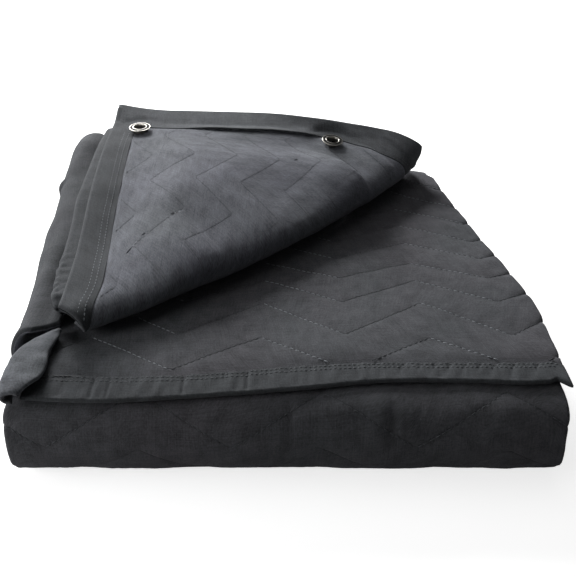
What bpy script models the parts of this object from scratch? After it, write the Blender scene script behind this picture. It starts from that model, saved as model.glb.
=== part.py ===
"""Quilted sound blanket, folded into a flat stack with one corner of its upper ply turned back.

X runs along the stack's front, Y towards its back and Z up. The origin is on the floor, under the
middle of the whole folded blanket. Everything is worked out in stack coordinates first, where y = 0
is the front edge of the stack, and moved to the origin at the end.
"""

import math
from collections import namedtuple

import bmesh
import bpy
import numpy as np
from mathutils import Vector

NAME = "quilted_sound_blanket"

# The stack's middle in stack coordinates, which becomes the origin
MIDDLE_X = -0.0230
MIDDLE_Y = 0.2676

# The cloth
CLOTH = 0.008
BINDING = 0.0065
HEM = 0.0076
LAYERS = 10
PITCH = 0.0108
PUFF = 0.0018
ZIGZAG = 0.188
SEAM_GAP = 0.0025

# The stack, from the side
BOTTOM_Z = CLOTH / 2
TOP_Z = BOTTOM_Z + (LAYERS - 1) * PITCH
REAR_Y = 0.505
REAR_DEPTH = 0.050
FRONT_Y = 0.0235
FRONT_DEPTH = 0.043
FULLNESS = 2.25
TURN_CLEARANCE = 0.0035
TOP_PHASE = -0.030
FRONT_PHASE = -0.058
COLUMNS = 21
MIDDLE_COLUMN = 9
COLUMNS_PER_ZIGZAG = 6
COLUMN_MARGIN = 0.009
ROW_STEP = 0.0032
ZIGZAG_GROWS = (0.030, 0.090)

# How much thicker the stack is towards its back left
LIFT = 0.046
LIFT_ACROSS = (-0.045, 0.195)
LIFT_ALONG = (0.120, 0.500)

# The turned corner's fold line, and its soft roll
FOLD_START = Vector((-0.2150, 0.0915))
FOLD_END = Vector((0.2160, 0.5080))
FOLD_BOW = 0.028
ROLL_START = 0.0150
ROLL_END = 0.0260
ROLL_UPPER_START = 0.012
ROLL_UPPER_END = 0.050
ROLL_LOWER = 0.018
UNDER_RISE = 0.0146
FLAP_RISE = 0.0295
REAR_SLACK = 0.004
SETTLE = 0.170
LIP = 0.010
CORNER_START = 0.002

# The ply that the corner is turned back from drapes over the stack's left side
DRAPE_RADIUS = 0.028
DRAPE_END_Z = 0.024
PLY_BACK = 0.542
PLY_ROWS = 20
PLY_FLAT = 13
PLY_BEND = 5
PLY_HANG = 4
PLY_INNER_FRONT = 0.104

# The turned corner's edges
BAND_WIDTH = 0.042
STRIP_MARGIN = (0.052, 0.034)
MARGIN_NARROWS = (0.0, 0.150)
BAND_TILT = 0.18
BAND_FRONT_OUTER = 0.098
BAND_FRONT_INNER = 0.079
BAND_BACK = 0.480
BAND_DROP = 0.003
STRIP_END = 0.233
STRIP_LEFT_Y = 0.5
FIRST_COLUMN = 0.020
EYELET_COLUMN = 0.021
CLEAR_COLUMN = 0.028
EDGE_LINES = 26
FAR_START_Y = 0.150
FAR_END_X = 0.085
FLAP_SPACING = 0.060
FLAP_SWING = 0.054
FLAP_ZIGZAG = 0.131
FLAP_RIGHT_X = -0.132
FLAP_LEFT_Y = 0.334
FLAP_ROWS = 15
ROLL_ROWS = 9
EDGE_CURL = 0.008
EDGE_CURL_WIDTH = 0.030
EDGE_CURL_STARTS = (-0.08, 0.08)
EDGE_CURL_ENDS = (0.11, 0.20)
CORNER_FLICK = 0.010
CORNER_REACH = 0.09
HAIRPIN_REACH = 0.030
HAIRPIN_RADIUS = 0.0058
HAIRPIN = 0.0042
RIDGE_GAP = 0.0024
RIDGE_ROWS = 14
RIDGE_FRONT = 0.117
RIDGE_BACK = 0.530

# The eyelets
RING_OUTER = 0.0180
RING_HOLE = 0.0090
RING_BARREL = 0.0105
RING_LIP = 0.0014
RING_GRIP = 0.0006
RING_SEGMENTS = 28
HOLE_CUT = 0.0112
PRESSED = (0.034, 0.048)
EYELETS = {"grommet_1": (-0.2250, 0.4800), "grommet_2": (0.0670, 0.4740)}

# Colours, as linear red, green and blue
DARK_CLOTH = (0.050, 0.052, 0.058)
LIGHT_CLOTH = (0.125, 0.130, 0.150)
DARK_BINDING = (0.070, 0.075, 0.082)
NICKEL = (0.62, 0.60, 0.57)

Line = namedtuple("Line", "peak valley")
Edge = namedtuple("Edge", "y left right")
Hem = namedtuple("Hem", "x edge seam droop")
Tab = namedtuple("Tab", "y outer inner rise")
Row = namedtuple("Row", "peak valley puff phase")
Stop = namedtuple("Stop", "at left right")
Strip = namedtuple("Strip", "x back")
Side = namedtuple("Side", "y ridge outer inner")
Wall = namedtuple("Wall", "y x")
Front = namedtuple("Front", "x y")

# Quilting lines on the top panel and round the rear fold: how far each zigzag's
# peaks and valleys are from the stack's front, along the cloth
TOP_LINES = [
    Line(0.035, -0.020),
    Line(0.093, 0.040),
    Line(0.158, 0.098),
    Line(0.206, 0.161),
    Line(0.246, 0.212),
    Line(0.298, 0.257),
    Line(0.346, 0.302),
    Line(0.397, 0.350),
    Line(0.450, 0.402),
    Line(0.504, 0.456),
]
REAR_LINES = [
    Line(0.504, 0.456),
    Line(0.556, 0.520),
    Line(0.602, 0.584),
    Line(0.648, 0.642),
]

# Quilting lines on the front fold, measured along the cloth from where it leaves the floor
FRONT_LINES = [
    Line(0.020, -0.034),
    Line(0.076, 0.022),
    Line(0.132, 0.078),
    Line(0.186, 0.150),
]

# The top panel's side edges, and those of the layers under it
TOP_EDGES = [
    Edge(-0.02, -0.2590, 0.2890),
    Edge(0.09, -0.2610, 0.2945),
    Edge(0.165, -0.2720, 0.2960),
    Edge(0.22, -0.2800, 0.2870),
    Edge(0.35, -0.2900, 0.2620),
    Edge(0.45, -0.3000, 0.2460),
    Edge(0.56, -0.3020, 0.2280),
]
LOWER_EDGES = [
    Edge(-0.02, -0.2880, 0.2835),
    Edge(0.10, -0.2950, 0.2900),
    Edge(0.22, -0.2990, 0.2840),
    Edge(0.35, -0.3080, 0.2610),
    Edge(0.45, -0.3180, 0.2480),
    Edge(0.56, -0.3180, 0.2360),
]

# The outside of the draped ply down the stack's left side
DRAPE_EDGES = [
    Wall(0.07, -0.3160),
    Wall(0.14, -0.3170),
    Wall(0.23, -0.3220),
    Wall(0.32, -0.3290),
    Wall(0.42, -0.3400),
    Wall(0.52, -0.3420),
    Wall(0.57, -0.3360),
]

# The top panel's front binding: where its free edge and its seam run, and how far the edge droops
FRONT_HEM = [
    Hem(-0.275, 0.003, 0.034, 0.002),
    Hem(-0.200, -0.001, 0.031, 0.0025),
    Hem(-0.090, 0.006, 0.035, 0.002),
    Hem(0.012, 0.016, 0.047, 0.001),
    Hem(0.100, 0.0265, 0.053, 0.0005),
    Hem(0.190, 0.0265, 0.053, 0.0005),
    Hem(0.262, 0.0245, 0.053, 0.0005),
    Hem(0.283, 0.0300, 0.055, 0.0005),
    Hem(0.297, 0.0265, 0.055, 0.001),
]

HEM_COLUMNS = [-0.270, -0.247, -0.22, -0.19, -0.15, -0.11, -0.07, -0.03, 0.012, 0.05, 0.09, 0.13,
               0.17, 0.21, 0.24, 0.262, 0.273, 0.283, 0.290, 0.297]

# The turned corner's back edge, and its left side with the rounded ridge beside it
STRIP_EDGE = [
    Strip(-0.280, 0.5560),
    Strip(-0.100, 0.5450),
    Strip(0.020, 0.5340),
    Strip(0.120, 0.5220),
    Strip(0.220, 0.5090),
    Strip(0.320, 0.4960),
]
SIDE_EDGES = [
    Side(0.078, -0.2480, -0.2480, -0.2032),
    Side(0.10, -0.2560, -0.2500, -0.2215),
    Side(0.112, -0.2610, -0.2506, -0.2230),
    Side(0.14, -0.2710, -0.2520, -0.2205),
    Side(0.19, -0.2776, -0.2552, -0.2200),
    Side(0.26, -0.2819, -0.2610, -0.2205),
    Side(0.33, -0.2877, -0.2660, -0.2240),
    Side(0.41, -0.2880, -0.2695, -0.2290),
    Side(0.56, -0.2900, -0.2720, -0.2320),
]

# The front edge of the draped ply
PLY_FRONT = [
    Front(-0.460, 0.0790),
    Front(-0.310, 0.0790),
    Front(-0.290, 0.0860),
    Front(-0.270, 0.0980),
    Front(-0.230, 0.1050),
]

# The curled corner: its outer and inner sides in plan, and how high it stands over the panel
CORNER_TAB = [
    Tab(-0.004, -0.2815, -0.2650, 0.0120),
    Tab(0.015, -0.2865, -0.2530, 0.0140),
    Tab(0.040, -0.2860, -0.2500, 0.0150),
    Tab(0.062, -0.2820, -0.2530, 0.0150),
    Tab(0.082, -0.2740, -0.2530, 0.0120),
]


def clear_scene():
    """An empty scene."""
    for item in list(bpy.data.objects):
        bpy.data.objects.remove(item, do_unlink=True)


def smooth(low, high, value):
    """0 below low and 1 above high, with a soft change between."""
    t = min(max((value - low) / (high - low), 0.0), 1.0)
    return t * t * (3 - 2 * t)


def blend(a, b, share):
    """The value that is this share of the way from a to b."""
    return a + (b - a) * share


def read(table, key, column, at):
    """One column of a table at a place between its rows, on a smooth curve through them."""
    xs = np.array([getattr(row, key) for row in table])
    ys = np.array([getattr(row, column) for row in table])
    slopes = np.gradient(ys, xs)
    i = int(np.clip(np.searchsorted(xs, at) - 1, 0, len(xs) - 2))
    step = xs[i + 1] - xs[i]
    t = min(max((at - xs[i]) / step, 0.0), 1.0)
    start = (1 + 2 * t) * (1 - t) ** 2 * ys[i] + t * (1 - t) ** 2 * step * slopes[i]
    end = t * t * (3 - 2 * t) * ys[i + 1] - t * t * (1 - t) * step * slopes[i + 1]
    return float(start + end)


def zigzag(x, phase):
    """1 at a zigzag's peaks and 0 at its valleys."""
    turn = ((x - phase) / ZIGZAG) % 1.0
    return abs(2 * turn - 1)


def behind_fold(x, y):
    """How far a place is behind the turned corner's fold line."""
    across = fold_across()
    return (Vector((x, y)) - FOLD_START).dot(across)


def fold_along():
    """The direction of the fold line."""
    return (FOLD_END - FOLD_START).normalized()


def fold_across():
    """The direction from the fold line to the back left."""
    along = fold_along()
    return Vector((-along.y, along.x))


def lift(x, y):
    """How much higher the top of the stack is at a place than at its front."""
    return LIFT * smooth(*LIFT_ACROSS, behind_fold(x, y)) * smooth(*LIFT_ALONG, y)


def bulge(z, depth):
    """How far an outer fold reaches at a height."""
    half = (TOP_Z - BOTTOM_Z) / 2
    part = min(abs((z - BOTTOM_Z - half) / half), 1.0)
    return depth * (1 - part**FULLNESS) ** (1 / FULLNESS)


class Path:
    """A line seen from the side, read by the distance along it."""

    def __init__(self, start):
        self.points = [start]
        self.stops = {}

    def line(self, y, z):
        self.points.append((y, z))

    def outer_turn(self, y, low, high, depth, upwards, steps=40):
        """A full soft fold between two heights, bulging to +y where depth is above zero."""
        middle, half = (low + high) / 2, (high - low) / 2
        for i in range(1, steps + 1):
            angle = math.pi * (i / steps - 0.5) * (1 if upwards else -1)
            out = depth * abs(math.cos(angle)) ** (2 / FULLNESS)
            up = math.copysign(abs(math.sin(angle)) ** (2 / FULLNESS), angle)
            self.points.append((y + out, middle + half * up))

    def hairpin(self, y, top, bottom, forwards, steps=12):
        """A tight turn from one layer down to the next."""
        middle, radius = (top + bottom) / 2, (top - bottom) / 2
        way = -1 if forwards else 1
        for i in range(steps + 1):
            angle = math.pi * (0.5 - i / steps)
            self.points.append((y + way * radius * math.cos(angle), middle + radius * math.sin(angle)))

    def mark(self, name):
        self.stops[name] = self.length()

    def length(self):
        steps = np.diff(np.array(self.points), axis=0)
        return float(np.hypot(steps[:, 0], steps[:, 1]).sum())

    def finish(self):
        """Gets the line ready to be read."""
        self.table = np.array(self.points)
        steps = np.diff(self.table, axis=0)
        self.along = np.concatenate([[0], np.cumsum(np.hypot(steps[:, 0], steps[:, 1]))])

    def at(self, distance):
        return [float(np.interp(distance, self.along, self.table[:, k])) for k in (0, 1)]


def stack_path():
    """The one strip of cloth in the stack: top panel, rear fold, floor layer, front fold and the
    layers inside, which go back and forth."""
    path = Path((0.0, TOP_Z))
    path.line(REAR_Y, TOP_Z)
    path.outer_turn(REAR_Y, BOTTOM_Z, TOP_Z, REAR_DEPTH, upwards=False)
    path.mark("floor")
    path.line(FRONT_Y, BOTTOM_Z)
    path.mark("front")
    second = TOP_Z - PITCH
    path.outer_turn(FRONT_Y, BOTTOM_Z, second, -FRONT_DEPTH, upwards=True)
    path.mark("second")
    for layer in range(1, LAYERS - 2):
        top = TOP_Z - layer * PITCH
        bottom = top - PITCH
        forwards = layer % 2 == 0
        depth = FRONT_DEPTH if forwards else REAR_DEPTH
        inside = bulge((top + bottom) / 2, depth) - CLOTH - TURN_CLEARANCE - PITCH / 2
        turn_y = FRONT_Y - inside if forwards else REAR_Y + inside
        path.line(turn_y, top)
        path.mark(f"turn_{layer}")
        path.hairpin(turn_y, top, bottom, forwards)
        path.mark(f"turned_{layer}")
    last = BOTTOM_Z + PITCH
    path.line(FRONT_Y - bulge(last, FRONT_DEPTH) + CLOTH + TURN_CLEARANCE, last)
    path.mark("end")
    path.finish()
    return path


def quilt_rows(lines, start, phase, pillow=(0.0, 0.75, 1.0, 0.75)):
    """A few rows of points for each quilting line: one in the stitched channel, the others on the pillow."""
    rows = []
    for this, following in zip(lines, lines[1:]):
        for step, height in enumerate(pillow):
            share = step / len(pillow)
            peak = blend(this.peak, following.peak, share)
            valley = blend(this.valley, following.valley, share)
            if peak > lines[0].peak:
                rows.append(Row(start + peak, start + valley, height * PUFF, phase))
    rows.append(Row(start + lines[-1].peak, start + lines[-1].valley, 0.0, phase))
    return rows


def stack_rows(path):
    """Every row of points along the stack's strip, from the front seam to the end inside."""
    front_phase = FRONT_PHASE + ZIGZAG / 2
    stops = path.stops
    rows = [Row(-1.0, -1.0, 0.0, TOP_PHASE)]
    rows += quilt_rows(TOP_LINES, 0.0, TOP_PHASE)
    rows += quilt_rows(REAR_LINES, 0.0, TOP_PHASE, pillow=(0.0, 0.9, 0.9))[1:]
    floor_rows = 3
    for i in range(floor_rows + 1):
        at = blend(stops["floor"], stops["front"], i / floor_rows)
        rows.append(Row(at, at, 0.0, front_phase))
    rows += quilt_rows(FRONT_LINES, stops["front"], front_phase)
    second_start = stops["second"] + 0.10
    rows.append(Row(second_start, second_start, 0.0, front_phase))
    turn_steps = 4
    for layer in range(1, LAYERS - 2):
        begin, done = stops[f"turn_{layer}"], stops[f"turned_{layer}"]
        for i in range(turn_steps + 1):
            at = blend(begin, done, i / turn_steps)
            rows.append(Row(at, at, 0.0, front_phase))
    rows.append(Row(stops["end"], stops["end"], 0.0, front_phase))
    return rows


def side_stops(path):
    """How the side edges of the stack's strip step in and out along it, layer by layer."""
    stops = path.stops
    table = [
        Stop(stops["floor"], 0.004, -0.002),
        Stop(stops["front"], 0.001, -0.001),
        Stop(stops["front"] + 0.045, 0.000, 0.002),
        Stop(stops["front"] + 0.085, 0.002, -0.002),
        Stop(stops["front"] + 0.112, 0.001, 0.001),
        Stop(stops["second"], 0.006, 0.000),
    ]
    steps = [(0.010, -0.003), (0.005, 0.001), (0.004, -0.004), (0.002, 0.000),
             (0.004, -0.005), (0.001, -0.002), (0.003, 0.001)]
    for layer, (left, right) in enumerate(steps, start=1):
        table.append(Stop(stops[f"turn_{layer}"] - 0.05, left, right))
    table.append(Stop(stops["end"], 0.002, -0.003))
    return table


def seam_y(x):
    """Where the front binding's seam crosses the top panel."""
    return read(FRONT_HEM, "x", "seam", x)


def stack_point(path, sides, row, column):
    """One point of the stack's middle surface."""
    on_top = row.phase == TOP_PHASE
    share = 0.0 if on_top else smooth(path.stops["floor"], path.stops["front"], row.peak)
    middle_x = blend(TOP_PHASE, FRONT_PHASE, share)
    wanted = middle_x + (column - MIDDLE_COLUMN) * ZIGZAG / COLUMNS_PER_ZIGZAG
    level = (row.peak + row.valley) / 2
    share = 1.0 if on_top else smooth(*ZIGZAG_GROWS, row.peak - path.stops["front"])
    at = blend(level, blend(row.valley, row.peak, zigzag(wanted, row.phase)), share)
    y, z = path.at(max(at, 0.0))
    if on_top:
        edge_y = y if at < REAR_Y else REAR_Y + 0.05
        fade = smooth(REAR_Y, path.stops["floor"], at)
        left = blend(read(TOP_EDGES, "y", "left", edge_y), read(LOWER_EDGES, "y", "left", edge_y), fade)
        right = blend(read(TOP_EDGES, "y", "right", edge_y), read(LOWER_EDGES, "y", "right", edge_y), fade)
    else:
        left = read(LOWER_EDGES, "y", "left", y) + read(sides, "at", "left", at)
        right = read(LOWER_EDGES, "y", "right", y) + read(sides, "at", "right", at)
    lowest = left + column * COLUMN_MARGIN
    highest = right - (COLUMNS - 1 - column) * COLUMN_MARGIN
    x = min(max(wanted, lowest), highest)
    if column == 0:
        x = left
    if column == COLUMNS - 1:
        x = right
    return x, y, z, at


def stack_surface(path):
    """The stack's middle surface, as a grid of points from seam to inner end."""
    rows = stack_rows(path)
    sides = side_stops(path)
    front = path.stops["front"]
    grid = []
    for j, row in enumerate(rows):
        line = []
        for i in range(COLUMNS):
            x, y, z, at = stack_point(path, sides, row, i)
            raised = row.puff
            if row.phase == TOP_PHASE and at < REAR_Y:
                limit = seam_y(x) + SEAM_GAP / 2 + j * ROW_STEP
                y = max(y, limit) if j else limit
                raised *= smooth(0.0, 0.030, y - seam_y(x))
            elif row.phase != TOP_PHASE and front < at < path.stops["second"] + 0.06:
                raised *= smooth(0.020, 0.055, at - front)
            if row.phase == TOP_PHASE:
                raised *= smooth(path.stops["floor"] - 0.02, path.stops["floor"] - 0.07, at)
            line.append((x, y, z, raised))
        grid.append(line)
    return grid


def raise_surface(points, heights):
    """Moves each point of a grid of points along the surface's normal there."""
    grid = np.array(points)
    down = np.gradient(grid, axis=0)
    right = np.gradient(grid, axis=1)
    normal = np.cross(right, down)
    normal /= np.linalg.norm(normal, axis=2, keepdims=True)
    return grid + normal * np.array(heights)[..., None]


def lifted(points):
    """The stack's points, raised where the stack is thicker."""
    high = TOP_Z - BOTTOM_Z
    out = np.array(points)
    for line in out:
        for point in line:
            share = (point[2] - BOTTOM_Z) / high
            point[2] += lift(point[0], min(point[1], REAR_Y)) * share
    return out


def material(name, colour, roughness, metallic=0.0):
    """A plain Principled material."""
    made = bpy.data.materials.new(name)
    made.use_nodes = True
    shader = made.node_tree.nodes["Principled BSDF"]
    shader.inputs["Base Color"].default_value = (*colour, 1.0)
    shader.inputs["Roughness"].default_value = roughness
    shader.inputs["Metallic"].default_value = metallic
    made.diffuse_color = (*colour, 1.0)
    return made


def sheet(name, points, thickness, finish, collection, outside=1):
    """A sheet of cloth: a grid whose points are moved to the middle surface, made solid."""
    rows, columns = len(points), len(points[0])
    mesh = bpy.data.meshes.new(name)
    form = bmesh.new()
    bmesh.ops.create_grid(form, x_segments=columns - 1, y_segments=rows - 1, size=1.0)
    form.verts.ensure_lookup_table()
    for index, vert in enumerate(form.verts):
        x, y, z = points[index // columns][index % columns]
        vert.co = (x - MIDDLE_X, y - MIDDLE_Y, z)
    if outside < 0:
        bmesh.ops.reverse_faces(form, faces=form.faces)
    form.to_mesh(mesh)
    form.free()
    mesh.materials.append(finish)
    body = bpy.data.objects.new(name, mesh)
    collection.objects.link(body)
    solid = body.modifiers.new("thickness", "SOLIDIFY")
    solid.thickness = thickness
    solid.offset = 0.0
    solid.use_quality_normals = True
    mesh.shade_smooth()
    return body


def roll_radius(along):
    """Half the height of the turned corner's soft roll, by the share of the way along the fold."""
    return blend(ROLL_START, ROLL_END, smooth(-0.1, 0.9, along))


def under_z(x, y):
    """The middle of the ply that lies on the stack, and goes over the start of its rear fold."""
    high = TOP_Z - BOTTOM_Z
    past = max(min(y, PLY_BACK) - REAR_Y, 0.0)
    level = 0.5 + 0.5 * (1 - (past / REAR_DEPTH) ** FULLNESS) ** (1 / FULLNESS)
    slack = REAR_SLACK * smooth(REAR_Y, PLY_BACK, y)
    return BOTTOM_Z + (high + lift(x, min(y, REAR_Y))) * level + UNDER_RISE + slack


def strip_back(x):
    """The turned corner's back edge."""
    return read(STRIP_EDGE, "x", "back", x)


def fold_place(x, y):
    """A place as a distance along the fold line, as a share of it, and as a distance behind it."""
    along = fold_along()
    length = (FOLD_END - FOLD_START).length
    place = Vector((x, y)) - FOLD_START
    q = place.dot(along)
    share = min(max(q / length, 0.0), 1.0)
    bow = FOLD_BOW * 4 * share * (1 - share)
    return q, share, place.dot(fold_across()) + bow, bow


def loose_z(x, y):
    """The middle of the turned-back corner where it lies on the ply below, before eyelets press it flat."""
    q, share, behind, bow = fold_place(x, y)
    rise = blend(2 * roll_radius(share), FLAP_RISE, smooth(0.02, SETTLE, behind))
    height = TOP_Z + UNDER_RISE + lift(x, min(y, REAR_Y)) + rise
    height += BAND_TILT * max(y - strip_back(x) + BAND_WIDTH, 0.0)
    curled = max(y - strip_back(x) + EDGE_CURL_WIDTH, 0.0) / EDGE_CURL_WIDTH
    height += EDGE_CURL * smooth(*EDGE_CURL_STARTS, x) * (1 - smooth(*EDGE_CURL_ENDS, x)) * curled**2
    corner = Vector((SIDE_EDGES[-1].outer, strip_back(SIDE_EDGES[-1].outer)))
    near = max(1 - (Vector((x, y)) - corner).length / CORNER_REACH, 0.0)
    return height + CORNER_FLICK * near * near


def eyelet_plane(x, y):
    """The height and slopes of the flat patch that an eyelet at a place presses into the cloth."""
    step = 0.012
    slope_x = (loose_z(x + step, y) - loose_z(x - step, y)) / (2 * step)
    slope_y = (loose_z(x, y + step) - loose_z(x, y - step)) / (2 * step)
    return loose_z(x, y), slope_x, slope_y


def flap_z(x, y):
    """The middle of the turned-back corner, flat round its eyelets."""
    height = loose_z(x, y)
    for at_x, at_y in EYELETS.values():
        distance = math.hypot(x - at_x, y - at_y)
        if distance < PRESSED[1]:
            z, slope_x, slope_y = eyelet_plane(at_x, at_y)
            flat = z + slope_x * (x - at_x) + slope_y * (y - at_y)
            height = blend(flat, height, smooth(*PRESSED, distance))
    return height


def quarter(reach, half, distance=None):
    """The length of a quarter ellipse, or the angle from its top that is a distance along it."""
    angles = np.linspace(0, math.pi / 2, 60)
    steps = np.hypot(np.diff(reach * np.sin(angles)), np.diff(half * np.cos(angles)))
    along = np.concatenate([[0], np.cumsum(steps)])
    if distance is None:
        return float(along[-1])
    return float(np.interp(distance, along, angles))


def roll_section(x, y):
    """The soft roll's section at a place on the turned cloth: its foremost point, its upper and
    lower reach, its half height and its lowest point's height."""
    q, share, behind, bow = fold_place(x, y)
    across = fold_across()
    reach = blend(ROLL_UPPER_START, ROLL_UPPER_END, smooth(0.0, 0.8, share))
    foremost = FOLD_START + fold_along() * q - across * bow
    top = foremost + across * reach
    low = foremost + across * ROLL_LOWER
    low_z = under_z(low.x, low.y)
    half = (flap_z(top.x, top.y) - low_z) / 2
    return foremost, reach, half, low_z, behind


def turned(x, y):
    """Where a place on the turned cloth ends up. x and y are read on the flap as it lies, with the
    cloth beyond the fold line laid out flat in the same plane."""
    foremost, reach, half, low_z, behind = roll_section(x, y)
    if behind >= reach:
        return x, y, flap_z(x, y)
    across = fold_across()
    into = reach - behind
    upper, lower = quarter(reach, half), quarter(ROLL_LOWER, half)
    if into < upper:
        angle = quarter(reach, half, into)
        at = foremost + across * reach * (1 - math.sin(angle))
        return at.x, at.y, low_z + half + half * math.cos(angle)
    if into < upper + lower:
        angle = quarter(ROLL_LOWER, half, lower - (into - upper))
        at = foremost + across * ROLL_LOWER * (1 - math.sin(angle))
        return at.x, at.y, low_z + half - half * math.cos(angle)
    at = foremost + across * (ROLL_LOWER + into - upper - lower)
    return at.x, at.y, under_z(at.x, at.y)


def side_edge(column, y):
    """One of the lines along the turned corner's left side."""
    return read(SIDE_EDGES, "y", column, y)


def flap_quilting(x, y):
    """How far the flap's pillows stand up at a place. Its lines run from front to back."""
    wave = abs(2 * (((y - FLAP_LEFT_Y) / FLAP_ZIGZAG) % 1.0) - 1)
    line = (x - FLAP_RIGHT_X + FLAP_SWING * wave) / FLAP_SPACING
    return PUFF * 0.5 * (1 - math.cos(2 * math.pi * line))


def roll_place(q, into):
    """A place on the turned cloth, laid flat, at q along the fold and a distance into its roll."""
    base = FOLD_START + fold_along() * q
    foremost, reach, half, low_z, behind = roll_section(base.x, base.y)
    return foremost + fold_across() * (reach - into)


def end_on_strip(into):
    """How far along the fold line the cloth meets the edge strip, a distance into the roll."""
    length = (FOLD_END - FOLD_START).length
    low, high = 0.6 * length, 1.3 * length
    for _ in range(30):
        q = (low + high) / 2
        place = roll_place(q, into)
        if place.y > strip_front(place.x) - SEAM_GAP:
            high = q
        else:
            low = q
    return low


def corner_places():
    """The turned corner's grid of places, laid flat, from its edges over the roll to the lip under it."""
    far = far_edge(EDGE_LINES)
    last = end_on_strip(0.0)
    grid = []
    for i in range(EDGE_LINES):
        share = i / (EDGE_LINES - 1)
        q = blend(CORNER_START, last, share)
        start = roll_place(q, 0.0)
        foremost, reach, half, low_z, behind = roll_section(start.x, start.y)
        rounded = quarter(reach, half) + quarter(ROLL_LOWER, half)
        slides = smooth(0.55, 1.0, share)
        line = []
        for k in range(FLAP_ROWS + 1):
            place = blend(far[i], start, k / FLAP_ROWS)
            if i == 0:
                place.x = side_edge("inner", place.y) + SEAM_GAP
            if i == EDGE_LINES - 1:
                place.y = strip_front(place.x) - SEAM_GAP
            line.append(place)
        for k in range(1, ROLL_ROWS + 2):
            into = min(rounded * k / ROLL_ROWS, rounded + LIP)
            slide = slides * (end_on_strip(into) - last) if slides else 0.0
            line.append(roll_place(q + slide, into))
        grid.append(line)
    return grid


def corner_surface():
    """The turned corner's cloth on its roll, with its quilting."""
    grid = []
    for i, places in enumerate(corner_places()):
        line = []
        for k, place in enumerate(places):
            inside = min(k / 2, (EDGE_LINES - 1 - i) / 2, i / 2, 1.0)
            inside *= smooth(FLAP_ROWS + 5, FLAP_ROWS - 1, k)
            x, y, z = turned(place.x, place.y)
            line.append((x, y, z, flap_quilting(place.x, place.y) * inside))
        grid.append(line)
    return grid


def strip_front(x):
    """Where the edge strip meets the turned corner's quilting."""
    return strip_back(x) - BAND_WIDTH - blend(*STRIP_MARGIN, smooth(*MARGIN_NARROWS, x))


def far_edge(count):
    """Places along the flap's quilted edge, from its front left end round its corner to the roll."""
    corner_x = side_edge("inner", strip_front(-0.23)) + SEAM_GAP
    corner_y = strip_front(corner_x) - SEAM_GAP
    side_count = count // 2
    places = []
    for i in range(side_count):
        y = blend(FAR_START_Y, corner_y, i / side_count)
        places.append(Vector((side_edge("inner", y) + SEAM_GAP, y)))
    for i in range(count - side_count):
        x = blend(corner_x, FAR_END_X, i / (count - side_count - 1))
        places.append(Vector((x, strip_front(x) - SEAM_GAP)))
    return places


def strip_columns():
    """Where the edge strip's columns stand: on the turned corner's own points along their seam, where
    the two go round the roll together, and on both sides of each eyelet."""
    seam = [line[0] for line in corner_places()][EDGE_LINES // 2:]
    seam += corner_places()[-1][1:]
    left = side_edge("outer", STRIP_LEFT_Y)
    xs = [left, left + FIRST_COLUMN] + [place.x for place in seam]
    for at_x, at_y in EYELETS.values():
        xs = [x for x in xs if abs(x - at_x) > CLEAR_COLUMN]
        xs += [at_x - EYELET_COLUMN, at_x, at_x + EYELET_COLUMN]
    return sorted(xs) + [STRIP_END]


def strip_surface():
    """The edge strip along the turned corner's back, which follows the roll down at its right end."""
    across = (0.0, 0.30, 0.60, 0.82, 0.92, 1.0)
    columns = strip_columns()
    grid = []
    for share in across:
        line = []
        for x in columns:
            y = blend(strip_front(x), strip_back(x), share)
            line.append(turned(x, y))
        grid.append(line)
    return grid


def band_surface():
    """The binding along the turned corner's left side."""
    rows = 16
    across = (0.0, 0.12, 0.5, 0.85, 1.0)
    grid = []
    for j in range(rows):
        line = []
        for share in across:
            front = blend(BAND_FRONT_OUTER, BAND_FRONT_INNER, share)
            back_x = blend(side_edge("outer", BAND_BACK), side_edge("inner", BAND_BACK), share)
            back = strip_front(back_x) - SEAM_GAP
            y = blend(front, back, j / (rows - 1))
            x = blend(side_edge("outer", y), side_edge("inner", y), share)
            x, y, z = turned(x, y)
            line.append((x, y, z - BAND_DROP * (1 - share) ** 4))
        grid.append(line)
    return grid


def ridge_surface():
    """The folded edge under the side binding: a hairpin of cloth that lies on the ply below."""
    rows, turn = RIDGE_ROWS, 8
    grid = []
    for j in range(rows):
        y = blend(RIDGE_FRONT, RIDGE_BACK, j / (rows - 1))
        left = side_edge("ridge", y) + HAIRPIN_RADIUS + HAIRPIN / 2
        wobble = 0.0012 * math.sin(9 * j) * smooth(0.30, 0.14, y)
        line = []
        middle = under_z(left, y) + CLOTH / 2 + HAIRPIN / 2 + HAIRPIN_RADIUS + RIDGE_GAP
        line.append((left + HAIRPIN_REACH, y, middle - HAIRPIN_RADIUS))
        for k in range(turn + 1):
            angle = math.pi * (k / turn - 0.5)
            x = left - HAIRPIN_RADIUS * math.cos(angle)
            line.append((x + wobble, y, middle + HAIRPIN_RADIUS * math.sin(angle)))
        line.append((left + HAIRPIN_REACH, y, middle + HAIRPIN_RADIUS))
        grid.append(line)
    return grid


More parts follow.
